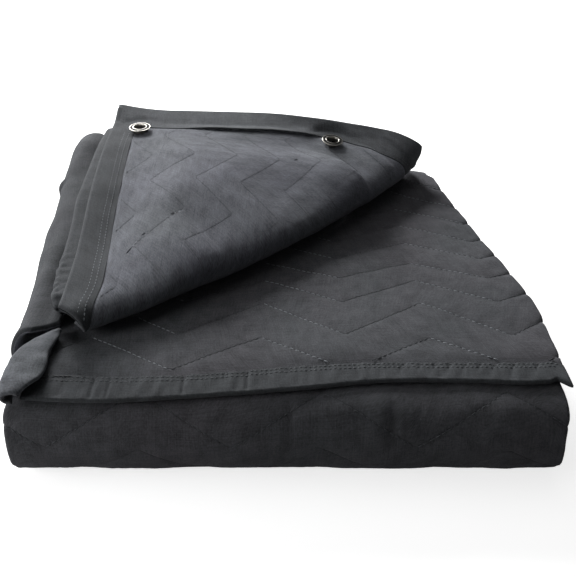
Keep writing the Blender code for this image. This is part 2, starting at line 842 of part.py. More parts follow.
def ply_surface():
    """The ply that the corner is turned back from. It lies on the stack and drapes down its left side."""
    rows, flat, bend, hang = PLY_ROWS, PLY_FLAT, PLY_BEND, PLY_HANG
    grid = []
    for j in range(rows):
        share = j / (rows - 1)
        line = []
        for k in range(flat + bend + hang):
            wall_y = blend(PLY_FRONT[0].y, PLY_BACK, share)
            wall = read(DRAPE_EDGES, "y", "x", wall_y) + CLOTH / 2
            shoulder = wall + DRAPE_RADIUS
            if k < flat:
                inner = fold_limit(max(wall_y, PLY_INNER_FRONT))
                x = blend(inner, shoulder, k / flat)
                y = blend(read(PLY_FRONT, "x", "y", x), PLY_BACK, share)
                z = under_z(x, y)
            else:
                y = blend(read(PLY_FRONT, "x", "y", shoulder), PLY_BACK, share)
                top = under_z(shoulder, y)
                turn = min((k - flat) / bend, 1.0) * math.pi / 2
                x = shoulder - DRAPE_RADIUS * math.sin(turn)
                z = top - DRAPE_RADIUS * (1 - math.cos(turn))
                if k > flat + bend:
                    z = blend(top - DRAPE_RADIUS, DRAPE_END_Z, (k - flat - bend) / (hang - 1))
            line.append((x, y, z))
        grid.append(line)
    return grid


def fold_limit(y):
    """The right-hand end of the draped ply, just behind the roll's lip."""
    clear = ROLL_LOWER + LIP + 0.010
    low, high = -0.26, 0.24
    for _ in range(30):
        middle = (low + high) / 2
        if fold_place(middle, y)[2] > clear:
            low = middle
        else:
            high = middle
    return low


def hem_surface():
    """The top panel's front binding."""
    across = (0.0, 0.1, 0.35, 0.7, 1.0)
    grid = []
    for share in across:
        line = []
        for x in HEM_COLUMNS:
            seam = seam_y(x) - SEAM_GAP / 2
            edge = read(FRONT_HEM, "x", "edge", x)
            y = blend(edge, seam, share)
            z = TOP_Z - read(FRONT_HEM, "x", "droop", x) * (1 - share) ** 2
            line.append((x, y, z))
        grid.append(line)
    return grid


def tab_surface():
    """The panel's corner, curled up and over so that its reverse shows."""
    turn = 7
    lie = 0.003
    grid = []
    for row in np.linspace(CORNER_TAB[0].y, CORNER_TAB[-1].y, 10):
        outer = read(CORNER_TAB, "y", "outer", row)
        inner = read(CORNER_TAB, "y", "inner", row)
        rise = read(CORNER_TAB, "y", "rise", row)
        radius = rise / 2
        low = TOP_Z
        line = [(outer + radius + lie, row, low)]
        for k in range(turn + 1):
            angle = math.pi * (k / turn - 0.5)
            line.append((outer + radius - radius * math.cos(angle), row, low + radius + radius * math.sin(angle)))
        line.append((blend(outer + radius, inner, 0.6), row, low + rise + 0.001))
        line.append((inner, row, low + rise - 0.0015))
        grid.append(line)
    return grid


def ring(name, place, finish, collection):
    """An eyelet: a turned profile like a low spool, which grips the cloth between its two lips."""
    x, y = place
    z, slope_x, slope_y = eyelet_plane(x, y)
    normal = Vector((-slope_x, -slope_y, 1.0)).normalized()
    grip = BINDING / 2 + RING_GRIP
    profile = [
        (RING_OUTER, grip + 0.0003),
        (RING_OUTER - 0.0008, grip + RING_LIP),
        (RING_HOLE + 0.0012, grip + RING_LIP),
        (RING_HOLE, grip),
        (RING_HOLE, -grip),
        (RING_HOLE + 0.0012, -grip - RING_LIP),
        (RING_OUTER - 0.0020, -grip - RING_LIP),
        (RING_OUTER - 0.0012, -grip),
        (RING_BARREL, -grip),
        (RING_BARREL, grip),
        (RING_OUTER, grip),
    ]
    mesh = bpy.data.meshes.new(name)
    form = bmesh.new()
    verts = [form.verts.new((radius, 0.0, height)) for radius, height in profile]
    for a, b in zip(verts, verts[1:] + verts[:1]):
        form.edges.new((a, b))
    form.to_mesh(mesh)
    form.free()
    mesh.materials.append(finish)
    body = bpy.data.objects.new(name, mesh)
    collection.objects.link(body)
    turn = body.modifiers.new("turn", "SCREW")
    turn.steps = RING_SEGMENTS
    turn.render_steps = RING_SEGMENTS
    turn.use_merge_vertices = True
    turn.merge_threshold = 0.00001
    turn.use_smooth_shade = False
    turn.use_normal_flip = True
    body.location = (x - MIDDLE_X, y - MIDDLE_Y, z)
    body.rotation_euler = normal.to_track_quat("Z", "Y").to_euler()
    top = body.location + normal * (grip + RING_LIP)
    flat = Vector((0.0, 1.0, 0.0)).cross(normal).normalized() * (RING_HOLE + RING_OUTER) / 2
    print(name, "top", [round(v, 5) for v in top + flat], "axis", [round(v, 5) for v in normal])
    return body


def cut_hole(strip, ring_body, cutters):
    """Cuts an eyelet's hole through the edge strip."""
    bpy.ops.mesh.primitive_cylinder_add(
        vertices=RING_SEGMENTS,
        radius=HOLE_CUT,
        depth=0.03,
        location=ring_body.location,
        rotation=ring_body.rotation_euler,
    )
    cutter = bpy.context.object
    cutter.name = ring_body.name + "_hole"
    for holder in list(cutter.users_collection):
        holder.objects.unlink(cutter)
    cutters.objects.link(cutter)
    cutter.hide_render = True
    cutter.display_type = "WIRE"
    cut = strip.modifiers.new(cutter.name, "BOOLEAN")
    cut.object = cutter
    cut.operation = "DIFFERENCE"


def main():
    clear_scene()
    collection = bpy.data.collections.new(NAME)
    cutters = bpy.data.collections.new("cutters")
    bpy.context.scene.collection.children.link(collection)
    bpy.context.scene.collection.children.link(cutters)
    dark = material("dark_cloth", DARK_CLOTH, 0.9)
    light = material("light_cloth", LIGHT_CLOTH, 0.9)
    tape = material("binding", DARK_BINDING, 0.85)
    nickel = material("nickel", NICKEL, 0.3, metallic=1.0)
    path = stack_path()
    surface = stack_surface(path)
    points = [[p[:3] for p in line] for line in surface]
    heights = [[p[3] for p in line] for line in surface]
    sheet("quilted_stack", lifted(raise_surface(points, heights)), CLOTH, dark, collection)
    surface = corner_surface()
    points = [[p[:3] for p in line] for line in surface]
    heights = [[p[3] for p in line] for line in surface]
    sheet("turned_corner", raise_surface(points, heights), CLOTH, light, collection)
    sheet("draped_ply", ply_surface(), CLOTH, dark, collection)
    strip = sheet("grommet_strip", strip_surface(), BINDING, tape, collection)
    sheet("side_binding", band_surface(), BINDING, tape, collection)
    sheet("under_fold", ridge_surface(), HAIRPIN, tape, collection)
    sheet("front_binding", hem_surface(), HEM, tape, collection)
    sheet("corner_tab", tab_surface(), HAIRPIN, light, collection)
    for name, place in EYELETS.items():
        body = ring(name, place, nickel, collection)
        cut_hole(strip, body, cutters)


main()
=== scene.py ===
# %% [markdown]
# # A quilted sound blanket, folded into a stack
#
# The real thing is a heavy quilt of dark woven polyester on one side and a lighter slate weave on the
# other, with felted cotton between them. Zigzag stitching holds the layers together, a binding runs
# round the edges, and a strip with metal eyelets lets it hang from hooks.
# The blanket lies folded, and its upper corner is turned back. Each part is cloth, so each becomes a
# sheet of points worked out from a few measured curves. A mesh editor could push a grid about by hand,
# but the folds here are long, smooth and exact, and the stitching has to follow them.

# %% Load the frame
import math

import bpy
import numpy as np
from mathutils import Matrix, Vector


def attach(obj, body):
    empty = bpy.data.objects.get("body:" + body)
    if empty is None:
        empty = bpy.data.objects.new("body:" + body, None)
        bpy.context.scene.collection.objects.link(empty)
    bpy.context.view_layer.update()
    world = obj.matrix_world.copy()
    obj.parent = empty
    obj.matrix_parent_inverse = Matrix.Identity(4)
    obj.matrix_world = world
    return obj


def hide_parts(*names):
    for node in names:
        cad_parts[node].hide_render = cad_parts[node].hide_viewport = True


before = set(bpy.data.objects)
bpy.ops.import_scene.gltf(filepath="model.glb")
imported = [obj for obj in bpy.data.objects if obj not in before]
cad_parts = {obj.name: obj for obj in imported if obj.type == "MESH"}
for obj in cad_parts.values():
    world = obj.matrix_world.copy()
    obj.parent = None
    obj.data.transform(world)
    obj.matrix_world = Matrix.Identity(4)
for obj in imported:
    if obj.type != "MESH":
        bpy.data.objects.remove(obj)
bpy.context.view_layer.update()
print("nodes", sorted(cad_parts))

# %% [markdown]
# ## Sizes
#
# Most of these are the sizes that the solid parts have. The roll, the arch behind it and the tapes'
# widths were read again from the photograph, more closely than the solids follow them. All are in
# metres, in a frame whose y = 0 is the front edge of the stack, and every point is moved to the middle
# of the blanket at the end. Most pairs in brackets say where a change starts and where it ends.

# %% Sizes of the stack
MIDDLE = np.array([-0.0230, 0.2676, 0.0])
CLOTH = 0.008
LAYERS = 10
PITCH = 0.0108
BOTTOM_Z = CLOTH / 2
TOP_Z = BOTTOM_Z + (LAYERS - 1) * PITCH
REAR_Y, REAR_DEPTH = 0.505, 0.050
FRONT_Y, FRONT_DEPTH = 0.0235, 0.043
FULLNESS = 2.25
ZIGZAG = 0.188
TOP_PHASE, FRONT_PHASE = -0.030, -0.058
LIFT, LIFT_ACROSS, LIFT_ALONG = 0.046, (-0.045, 0.195), (0.120, 0.500)

# %% Sizes of the turned corner
# the line that it is folded on, and how far that line bows
FOLD_START = np.array([-0.2150, 0.0915])
FOLD_END = np.array([0.2160, 0.5080])
FOLD_BOW = 0.028
# its roll: half the height at both ends, and how far it reaches back above and below
ROLL_START, ROLL_END, ROLL_GROWS, ROLL_RISES = 0.0150, 0.0260, (-0.1, 0.9), (0.50, 0.80)
ROLL_UPPER_START, ROLL_UPPER_END, ROLL_UPPER_LAST, ROLL_LOWER = 0.014, 0.092, 0.050, 0.018
ROLL_WIDENS, ROLL_NARROWS = (-0.05, 0.25), (0.65, 0.95)
# how high the cloth lies over the stack, and how it sinks behind the roll
UNDER_RISE, FLAP_RISE, REAR_SLACK = 0.0146, 0.0295, 0.004
ROLL_DROP, LEFT_DROP, DROP_ENDS = 0.003, 0.005, (0.40, 0.65)
SETTLE_STARTS, SETTLE, LEFT_SETTLE = 0.02, 0.170, 0.090
SAG, SAG_STARTS, SAG_ENDS = 0.009, (0.03, 0.22), (0.060, 0.160)
# how it arches up, its hidden lip, its start along the fold line, and its flicked back corner
LOFT_STARTS_Y, LOFT_ENDS = 0.085, (0.135, 0.410)
LOFT_ACROSS, LOFT_ALONG = (-0.230, -0.140), (0.400, 0.475)
LIP, CORNER_START = 0.010, -0.008
CORNER_FLICK, CORNER_REACH, CORNER_Y = 0.010, 0.09, 0.56
# the ply below it, where it bends over the stack's left side
DRAPE_RADIUS, DRAPE_END_Z, PLY_BACK = 0.028, 0.024, 0.542
# its bindings: their width and tilt, their ends, and the back one's curled edge
BAND_WIDTH, BAND_TILT = 0.042, 0.18
BAND_FRONT_OUTER, BAND_FRONT_INNER = 0.098, 0.073
STRIP_END = 0.216
EDGE_CURL, EDGE_CURL_WIDTH = 0.008, 0.030
EDGE_CURL_STARTS, EDGE_CURL_ENDS = (-0.08, 0.08), (0.11, 0.20)
# the eyelets' middles, and the ring round each one in which the cloth is pressed flat
EYELETS = {"grommet_1": (-0.2250, 0.4800), "grommet_2": (0.0670, 0.4740)}
PRESSED, BESIDE_EYELET = (0.034, 0.048), (0.019, 0.034)

# %% Tables of the outline
# Each row has a place, and then the values that the line above its table names.
# number, then a zigzag's peaks and valleys along the cloth
TOP_LINES = [(-1, -0.021, -0.076), (0, 0.035, -0.020), (1, 0.093, 0.040), (2, 0.158, 0.098),
             (3, 0.206, 0.161), (4, 0.246, 0.212), (5, 0.298, 0.257), (6, 0.346, 0.302),
             (7, 0.397, 0.350), (8, 0.450, 0.402), (9, 0.504, 0.456), (10, 0.556, 0.520),
             (11, 0.602, 0.584), (12, 0.648, 0.642)]
FRONT_LINES = [(0, 0.020, -0.034), (1, 0.076, 0.022), (2, 0.132, 0.078), (3, 0.186, 0.150),
               (4, 0.240, 0.215)]
# y, then the left and right edges
TOP_EDGES = [(-0.02, -0.2590, 0.2890), (0.09, -0.2610, 0.2945), (0.165, -0.2720, 0.2960),
             (0.22, -0.2800, 0.2870), (0.35, -0.2900, 0.2620), (0.45, -0.3000, 0.2460),
             (0.56, -0.3020, 0.2280)]
LOWER_EDGES = [(-0.02, -0.2880, 0.2835), (0.10, -0.2950, 0.2900), (0.22, -0.2990, 0.2840),
               (0.35, -0.3080, 0.2610), (0.45, -0.3180, 0.2480), (0.56, -0.3180, 0.2360)]
# y, then the outside of the ply that drapes down the left side
DRAPE_EDGES = [(0.07, -0.3160), (0.14, -0.3170), (0.23, -0.3220), (0.32, -0.3290), (0.42, -0.3400),
               (0.52, -0.3420), (0.57, -0.3360)]
# x, then the front binding's free edge, its seam, and the edge's droop
FRONT_HEM = [(-0.275, 0.003, 0.034, 0.002), (-0.200, -0.001, 0.031, 0.0025),
             (-0.090, 0.006, 0.035, 0.002), (0.012, 0.016, 0.047, 0.001),
             (0.100, 0.0265, 0.053, 0.0005), (0.190, 0.0265, 0.053, 0.0005),
             (0.262, 0.0245, 0.053, 0.0005), (0.272, 0.0255, 0.0535, 0.0005),
             (0.279, 0.0290, 0.0535, 0.0005), (0.286, 0.0245, 0.0525, 0.0005),
             (0.2925, 0.0195, 0.0500, 0.001), (0.298, 0.0185, 0.0490, 0.001)]
# x, then the turned corner's back edge
STRIP_EDGE = [(-0.280, 0.5560), (-0.100, 0.5450), (0.020, 0.5340), (0.120, 0.5220), (0.220, 0.5090),
              (0.320, 0.4960)]
# x, then how wide the binding along the back edge is
STRIP_WIDTHS = [(-0.300, 0.0610), (-0.150, 0.0600), (-0.070, 0.0620), (-0.020, 0.0520), (0.020, 0.0460),
                (0.067, 0.0380), (0.100, 0.0450), (0.130, 0.0540), (0.160, 0.0630), (0.240, 0.0610)]
# y, then the ridge, the outer and the inner edge of the binding on the turned corner's left
SIDE_EDGES = [(0.078, -0.2480, -0.2480, -0.2032), (0.10, -0.2560, -0.2500, -0.2215),
              (0.112, -0.2610, -0.2506, -0.2230), (0.14, -0.2710, -0.2520, -0.2205),
              (0.19, -0.2776, -0.2552, -0.2200), (0.26, -0.2819, -0.2610, -0.2205),
              (0.33, -0.2877, -0.2660, -0.2240), (0.41, -0.2880, -0.2695, -0.2290),
              (0.56, -0.2900, -0.2720, -0.2320)]
# y, then the inner edge of the tape on the turned corner's left
SIDE_TAPE = [(0.073, -0.2112), (0.098, -0.2135), (0.134, -0.2108), (0.190, -0.2150), (0.260, -0.2222),
             (0.330, -0.2258), (0.410, -0.2305), (0.560, -0.2345)]
# x, then the draped ply's front edge
PLY_FRONT = [(-0.460, 0.0790), (-0.310, 0.0790), (-0.290, 0.0880), (-0.270, 0.1020),
             (-0.250, 0.1130), (-0.230, 0.1180)]
# y, then the curled corner's outer and inner sides and its height over the panel
CORNER_TAB = [(-0.006, -0.2830, -0.2670, 0.0120), (0.001, -0.2860, -0.2620, 0.0140),
              (0.015, -0.2885, -0.2515, 0.0150), (0.033, -0.2900, -0.2492, 0.0150),
              (0.057, -0.2885, -0.2530, 0.0150), (0.072, -0.2815, -0.2515, 0.0145),
              (0.086, -0.2700, -0.2510, 0.0135), (0.097, -0.2585, -0.2525, 0.0120)]

# %% [markdown]
# ## Reading curves
#
# A table holds a few measured places, and the cloth between them is smooth, so each table is read as
# a curve through its rows. Everything works on whole arrays of points, because a blanket needs tens of
# thousands of them.

# %% Helpers for curves
def smooth(low, high, value):
    """0 at low and 1 at high, with a soft change between. low may be the higher of the two."""
    t = np.clip((np.asarray(value, float) - low) / (high - low), 0, 1)
    return t * t * (3 - 2 * t)


def blend(a, b, share):
    """The value that is this share of the way from a to b."""
    return a + (b - a) * share


def read(table, column, at):
    """One column of a table at places between its rows."""
    rows = np.array(table, float)
    xs, ys = rows[:, 0], rows[:, column]
    slopes = np.gradient(ys, xs)
    i = np.clip(np.searchsorted(xs, at) - 1, 0, len(xs) - 2)
    step = xs[i + 1] - xs[i]
    t = np.clip((at - xs[i]) / step, 0, 1)
    start = (1 + 2 * t) * (1 - t) ** 2 * ys[i] + t * (1 - t) ** 2 * step * slopes[i]
    end = t * t * (3 - 2 * t) * ys[i + 1] - t * t * (1 - t) * step * slopes[i + 1]
    return start + end


def bell(value, middle, reach):
    """1 at the middle, falling softly to 0 on both sides."""
    return np.exp(-((value - middle) / reach) ** 2)


def zigzag(x, phase, length=ZIGZAG):
    """1 at a zigzag's peaks and 0 at its valleys."""
    return np.abs(2 * (((x - phase) / length) % 1.0) - 1)


def as_points(x, y, z):
    """Points from their three coordinates."""
    return np.stack(np.broadcast_arrays(x, y, z), -1)


def last_fit(low, high, fits):
    """The furthest places between low and high where fits is true, found by halving."""
    for _ in range(30):
        middle = (low + high) / 2
        good = fits(middle)
        low, high = np.where(good, middle, low), np.where(good, high, middle)
    return low


def bumps(x, y, size, seed):
    """A soft, uneven surface between -1 and 1, made from a few crossed waves of one size."""
    dice = np.random.default_rng(seed)
    total = 0
    for _ in range(7):
        angle = dice.uniform(0, math.pi)
        wave = 2 * math.pi / (size * dice.uniform(0.7, 1.6))
        total = total + np.sin((x * math.cos(angle) + y * math.sin(angle)) * wave + dice.uniform(0, 6.3))
    return total / 4


print("top of the stack", round(TOP_Z + CLOTH / 2, 4))

# %% [markdown]
# ## The fold line and the heights on it
#
# The corner is turned back along a slightly bowed diagonal. Behind that line the stack is thicker,
# because more layers lie there, so its top rises. The turned cloth doesn't crease sharply: it goes
# round in a soft roll, which is a quarter of one ellipse over a quarter of another.

# %% Heights of the stack, the ply on it and the turned corner
ALONG = (FOLD_END - FOLD_START) / np.linalg.norm(FOLD_END - FOLD_START)
ACROSS = np.array([-ALONG[1], ALONG[0]])
FOLD_LENGTH = float(np.linalg.norm(FOLD_END - FOLD_START))


def lift(x, y):
    """How much higher the top of the stack is at a place than at its front."""
    behind = (x - FOLD_START[0]) * ACROSS[0] + (y - FOLD_START[1]) * ACROSS[1]
    return LIFT * smooth(*LIFT_ACROSS, behind) * smooth(*LIFT_ALONG, y)


def under_z(x, y):
    """The middle of the ply that lies on the stack and goes over the start of its rear fold."""
    high = TOP_Z - BOTTOM_Z
    past = np.maximum(np.minimum(y, PLY_BACK) - REAR_Y, 0.0)
    level = 0.5 + 0.5 * (1 - (past / REAR_DEPTH) ** FULLNESS) ** (1 / FULLNESS)
    slack = REAR_SLACK * smooth(REAR_Y, PLY_BACK, y)
    return BOTTOM_Z + (high + lift(x, np.minimum(y, REAR_Y))) * level + UNDER_RISE + slack


def strip_back(x):
    """The turned corner's back edge."""
    return read(STRIP_EDGE, 1, x)


def side_edge(column, y):
    """A line along the turned corner's left side: 1 the ridge, 2 the outer edge, 3 the inner edge."""
    return read(SIDE_EDGES, column, y)


def fold_place(x, y):
    """A place as a distance along the fold line, as a share of it, and as a distance behind it."""
    px, py = x - FOLD_START[0], y - FOLD_START[1]
    q = px * ALONG[0] + py * ALONG[1]
    share = np.clip(q / FOLD_LENGTH, 0, 1)
    bow = FOLD_BOW * 4 * share * (1 - share)
    return q, share, px * ACROSS[0] + py * ACROSS[1] + bow, bow


def arch(low, high, value):
    """0 at low and 1 at high, rising steeply at first and then less and less."""
    t = np.clip((value - low) / (high - low), 0, 1)
    return 1 - (1 - t) ** 2


def loft(x, y, behind):
    """How far the turned corner stands off the layers below it: it arches up from its roll."""
    high = arch(LIFT_ACROSS[0], LOFT_ENDS[0], behind) * arch(LOFT_STARTS_Y, LOFT_ENDS[1], y)
    low = smooth(*LIFT_ACROSS, behind) * smooth(*LIFT_ALONG, y)
    return LIFT * np.maximum(high - low, 0.0) * smooth(*LOFT_ACROSS, x) * (1 - smooth(*LOFT_ALONG, y))


def loose_z(x, y):
    """The middle of the turned corner where it lies on the ply, before eyelets press it flat."""
    q, share, behind, _ = fold_place(x, y)
    radius = blend(ROLL_START, ROLL_END, smooth(*ROLL_GROWS, share))
    in_front = 1 - smooth(*DROP_ENDS, share)
    drop = ROLL_DROP + LEFT_DROP * smooth(*LOFT_ACROSS, x) * in_front
    at_fold = blend(FLAP_RISE - drop, 2 * radius, smooth(*ROLL_RISES, share))
    rise = blend(at_fold, FLAP_RISE,
                 smooth(SETTLE_STARTS, blend(SETTLE, LEFT_SETTLE, in_front), behind))
    rise = rise - SAG * smooth(*SAG_STARTS, q) * (1 - smooth(*SAG_ENDS, behind))
    height = TOP_Z + UNDER_RISE + lift(x, np.minimum(y, REAR_Y)) + loft(x, y, behind) + rise
    height = height + BAND_TILT * np.maximum(y - strip_back(x) + BAND_WIDTH, 0.0)
    curled = np.maximum(y - strip_back(x) + EDGE_CURL_WIDTH, 0.0) / EDGE_CURL_WIDTH
    window = smooth(*EDGE_CURL_STARTS, x) * (1 - smooth(*EDGE_CURL_ENDS, x))
    height = height + EDGE_CURL * window * curled**2
    corner_x = side_edge(2, CORNER_Y)
    near = np.maximum(1 - np.hypot(x - corner_x, y - strip_back(corner_x)) / CORNER_REACH, 0.0)
    return height + CORNER_FLICK * near * near


# %% The flat patches round the eyelets
def off_eyelets(x, y):
    """0 beside an eyelet and 1 away from both."""
    return np.prod([smooth(*BESIDE_EYELET, np.hypot(x - at_x, y - at_y)) for at_x, at_y in EYELETS.values()],
                   axis=0)


def eyelet_plane(x, y):
    """The height and slopes of the flat patch that an eyelet presses into the cloth."""
    step = 0.012
    slope_x = (loose_z(x + step, y) - loose_z(x - step, y)) / (2 * step)
    slope_y = (loose_z(x, y + step) - loose_z(x, y - step)) / (2 * step)
    return float(loose_z(x, y)), float(slope_x), float(slope_y)


def flap_z(x, y):
    """The middle of the turned corner, flat round its eyelets."""
    height = loose_z(x, y)
    for at_x, at_y in EYELETS.values():
        z, slope_x, slope_y = eyelet_plane(at_x, at_y)
        flat = z + slope_x * (x - at_x) + slope_y * (y - at_y)
        height = blend(flat, height, smooth(*PRESSED, np.hypot(x - at_x, y - at_y)))
    return height


print("turned corner's height at the eyelets", [round(eyelet_plane(*at)[0], 4) for at in EYELETS.values()])

# %% The soft roll, as two quarter ellipses
def arc_table(reach, half, count=48):
    """For many quarter ellipses at once, the distance along each one from its top."""
    angles = np.linspace(0, math.pi / 2, count)
    out = np.asarray(reach)[..., None] * np.sin(angles)
    up = np.asarray(half)[..., None] * np.cos(angles)
    steps = np.hypot(np.diff(out, axis=-1), np.diff(up, axis=-1))
    start = np.zeros(steps.shape[:-1] + (1,))
    return angles, np.concatenate([start, np.cumsum(steps, axis=-1)], axis=-1)


def quarter(reach, half):
    """The length of each quarter ellipse."""
    return arc_table(reach, half)[1][..., -1]


def quarter_angle(reach, half, distance):
    """The angle from the top of each quarter ellipse that is a distance along it."""
    angles, along = arc_table(reach, half)
    distance = np.clip(distance, 0, along[..., -1])
    i = np.clip((along < distance[..., None]).sum(-1), 1, len(angles) - 1)
    low = np.take_along_axis(along, (i - 1)[..., None], -1)[..., 0]
    high = np.take_along_axis(along, i[..., None], -1)[..., 0]
    return blend(angles[i - 1], angles[i], (distance - low) / (high - low))


def roll_section(x, y):
    """The roll's section at places on the turned cloth: its foremost point, upper reach, half
    height, lowest height, the slope that it starts with, and how far the place is behind the fold
    line."""
    q, share, behind, bow = fold_place(x, y)
    reach = blend(ROLL_UPPER_START, ROLL_UPPER_END, smooth(*ROLL_WIDENS, share))
    reach = blend(reach, ROLL_UPPER_LAST, smooth(*ROLL_NARROWS, share))
    front_x = FOLD_START[0] + ALONG[0] * q - ACROSS[0] * bow
    front_y = FOLD_START[1] + ALONG[1] * q - ACROSS[1] * bow
    low_z = under_z(front_x + ACROSS[0] * ROLL_LOWER, front_y + ACROSS[1] * ROLL_LOWER)
    top_z = flap_z(front_x + ACROSS[0] * reach, front_y + ACROSS[1] * reach)
    step = 0.006
    next_z = flap_z(front_x + ACROSS[0] * (reach + step), front_y + ACROSS[1] * (reach + step))
    slope = (next_z - top_z) / step
    return front_x, front_y, reach, (top_z - slope * reach / 2 - low_z) / 2, low_z, slope, behind


def turned(x, y):
    """Where places on the turned cloth end up. Beyond the fold line x and y are read as if the
    cloth there were laid out flat."""
    front_x, front_y, reach, half, low_z, slope, behind = roll_section(x, y)
    into = reach - behind
    lower_reach = np.full_like(reach, ROLL_LOWER)
    upper, lower = quarter(reach, half), quarter(lower_reach, half)
    over = quarter_angle(reach, half, into)
    below = quarter_angle(lower_reach, half, lower - (into - upper))
    first, second = into < upper, into < upper + lower
    out = np.where(first, reach * (1 - np.sin(over)),
                   np.where(second, ROLL_LOWER * (1 - np.sin(below)), ROLL_LOWER + into - upper - lower))
    at_x, at_y = front_x + ACROSS[0] * out, front_y + ACROSS[1] * out
    sloped = slope * reach / 2 * (out / reach) ** 2
    z = np.where(first, low_z + half + half * np.cos(over) + sloped,
                 np.where(second, low_z + half - half * np.cos(below), under_z(at_x, at_y)))
    flat = behind >= reach
    return as_points(np.where(flat, x, at_x), np.where(flat, y, at_y), np.where(flat, flap_z(x, y), z))


print("turned cloth near its corner", turned(np.array([-0.2]), np.array([0.4])).round(4))

# %% [markdown]
# ## From points to cloth
#
# Every piece of cloth is a grid of points through its middle, and a half thickness at each point. A
# Solidify modifier would give a sheet square, sharp edges. Real quilt edges are folded or bound and
# round, so the two faces are built here: they close on each other in a rounded edge. The mesh keeps
# its distances in metres as a UV map, and one number a point for the stitching: which line of
# stitches the point is at, or how far it is between two of them.

# %% Helpers for grids of points
def normals_of(points):
    """The surface normal at each point of a grid."""
    down = np.gradient(points, axis=0)
    right = np.gradient(points, axis=1)
    normal = np.cross(right, down)
    return normal / np.maximum(np.linalg.norm(normal, axis=2, keepdims=True), 1e-12)


def distances(points, axis):
    """How far each point of a grid is along its row or column."""
    steps = np.linalg.norm(np.diff(points, axis=axis), axis=2)
    start = np.zeros_like(np.take(steps, [0], axis=axis))
    return np.concatenate([start, np.cumsum(steps, axis=axis)], axis=axis)


END_STEPS = np.array([0, 0.06, 0.22, 0.48, 0.85, 1.3])


def edge_steps(length, step, rounding):
    """Distances from 0 to a length, with close steps at both ends for a rounded edge."""
    ends = rounding * END_STEPS
    inner = np.linspace(ends[-1], length - ends[-1], max(int((length - 2 * ends[-1]) / step), 2) + 1)
    return np.concatenate([ends[:-1], inner, length - ends[-2::-1]])


def quads(index):
    """The four-sided faces between the points of a grid."""
    return np.stack([index[:-1, :-1], index[:-1, 1:], index[1:, 1:], index[1:, :-1]], -1).reshape(-1, 4)


# %% Build a closed cloth from a grid
BETWEEN_LINES = 0.5


def new_piece(name, points, faces, materials):
    """A smooth mesh that rides on the blanket, from points in the frame of the sizes."""
    mesh = bpy.data.meshes.new(name)
    mesh.from_pydata((points - MIDDLE).tolist(), [], faces)
    for material in materials:
        mesh.materials.append(material)
    mesh.polygons.foreach_set("use_smooth", np.ones(len(faces), bool))
    piece = bpy.data.objects.new(name, mesh)
    bpy.context.scene.collection.objects.link(piece)
    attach(piece, "root")
    return piece


def cloth(name, points, half, face, back=None, line=None, rounding=None):
    """A closed cloth with rounded edges. face is the material on its upper side, back the one below,
    and line says which line of stitches each point is at."""
    rows, columns = points.shape[:2]
    down, right = distances(points, 0), distances(points, 1)
    half = np.broadcast_to(np.asarray(half, float), (rows, columns)).copy()
    round_at = half if rounding is None else np.full_like(half, rounding)
    near = np.minimum(np.minimum(down, down[-1:] - down), np.minimum(right, right[:, -1:] - right))
    inside = 1 - np.clip(near / round_at, 0, 1)
    half *= np.sqrt(np.clip(1 - inside**2, 0, 1))
    normal = normals_of(points)
    upper, lower = points + normal * half[..., None], points - normal * half[..., None]
    index = np.arange(rows * columns).reshape(rows, columns)
    under = index.copy()
    under[1:-1, 1:-1] = rows * columns + np.arange((rows - 2) * (columns - 2)).reshape(rows - 2, columns - 2)

    def both(above, below):
        """Values at the upper face's points, then at the lower face's points inside the edge."""
        width = above.shape[-1]
        return np.concatenate([above.reshape(-1, width), below[1:-1, 1:-1].reshape(-1, width)])

    faces = np.concatenate([quads(index), quads(under)[:, ::-1]])
    piece = new_piece(name, both(upper, lower), faces.tolist(), (face, back or face))
    mesh = piece.data
    mesh.polygons.foreach_set("material_index", np.repeat([0, 1], len(faces) // 2).astype(np.int32))
    spread = np.stack([right, down], -1)
    flat = both(spread, spread)[faces.reshape(-1)]
    mesh.uv_layers.new(name="cloth").data.foreach_set("uv", flat.reshape(-1))
    numbers = (np.full((rows, columns), BETWEEN_LINES) if line is None else line)[..., None]
    numbers = both(numbers, numbers).astype(np.float32).reshape(-1)
    mesh.attributes.new("line", "FLOAT", "POINT").data.foreach_set("value", numbers)
    print(name, len(faces) * 2, "triangles")
    return piece


# %% [markdown]
# ## Materials
#
# Both sides of the quilt are a plain weave: yarns that pass over and under each other about every
# millimetre, with some thicker yarns that show as streaks. One node group makes that weave from the
# UV map, and another makes the stitched channel from the two stitching numbers. Each cloth then has
# its own colours. A picture could be tiled over the cloth, but nodes stay sharp at any distance.

# %% Node helpers
def add_node(tree, kind, inputs=None, **settings):
    """A node with its settings, and its inputs set to values or joined to other nodes' outputs."""
    made = tree.nodes.new(kind)
    for key, value in settings.items():
        setattr(made, key, value)
    for key, value in (inputs or {}).items():
        if isinstance(value, bpy.types.NodeSocket):
            tree.links.new(value, made.inputs[key])
        else:
            made.inputs[key].default_value = value
    return made


def maths(tree, operation, a, b=0.0, c=0.0):
    """One step of arithmetic, as a node."""
    return add_node(tree, "ShaderNodeMath", {0: a, 1: b, 2: c}, operation=operation).outputs[0]


# %% Helpers for colours and materials
def noise(tree, place, scale, detail, roughness=0.5, flat=False):
    """Soft noise, as a node. Where a place has only two coordinates, the noise is flat."""
    inputs = {"Vector": place, "Scale": scale, "Detail": detail, "Roughness": roughness}
    return add_node(tree, "ShaderNodeTexNoise", inputs, noise_dimensions="2D" if flat else "3D").outputs[0]


def spread_out(tree, value, low, high, new_low=0.0, new_high=1.0):
    """The values from low to high, spread out from new_low to new_high."""
    return add_node(tree, "ShaderNodeMapRange", {"Value": value, "From Min": low, "From Max": high,
                                                 "To Min": new_low, "To Max": new_high}).outputs[0]


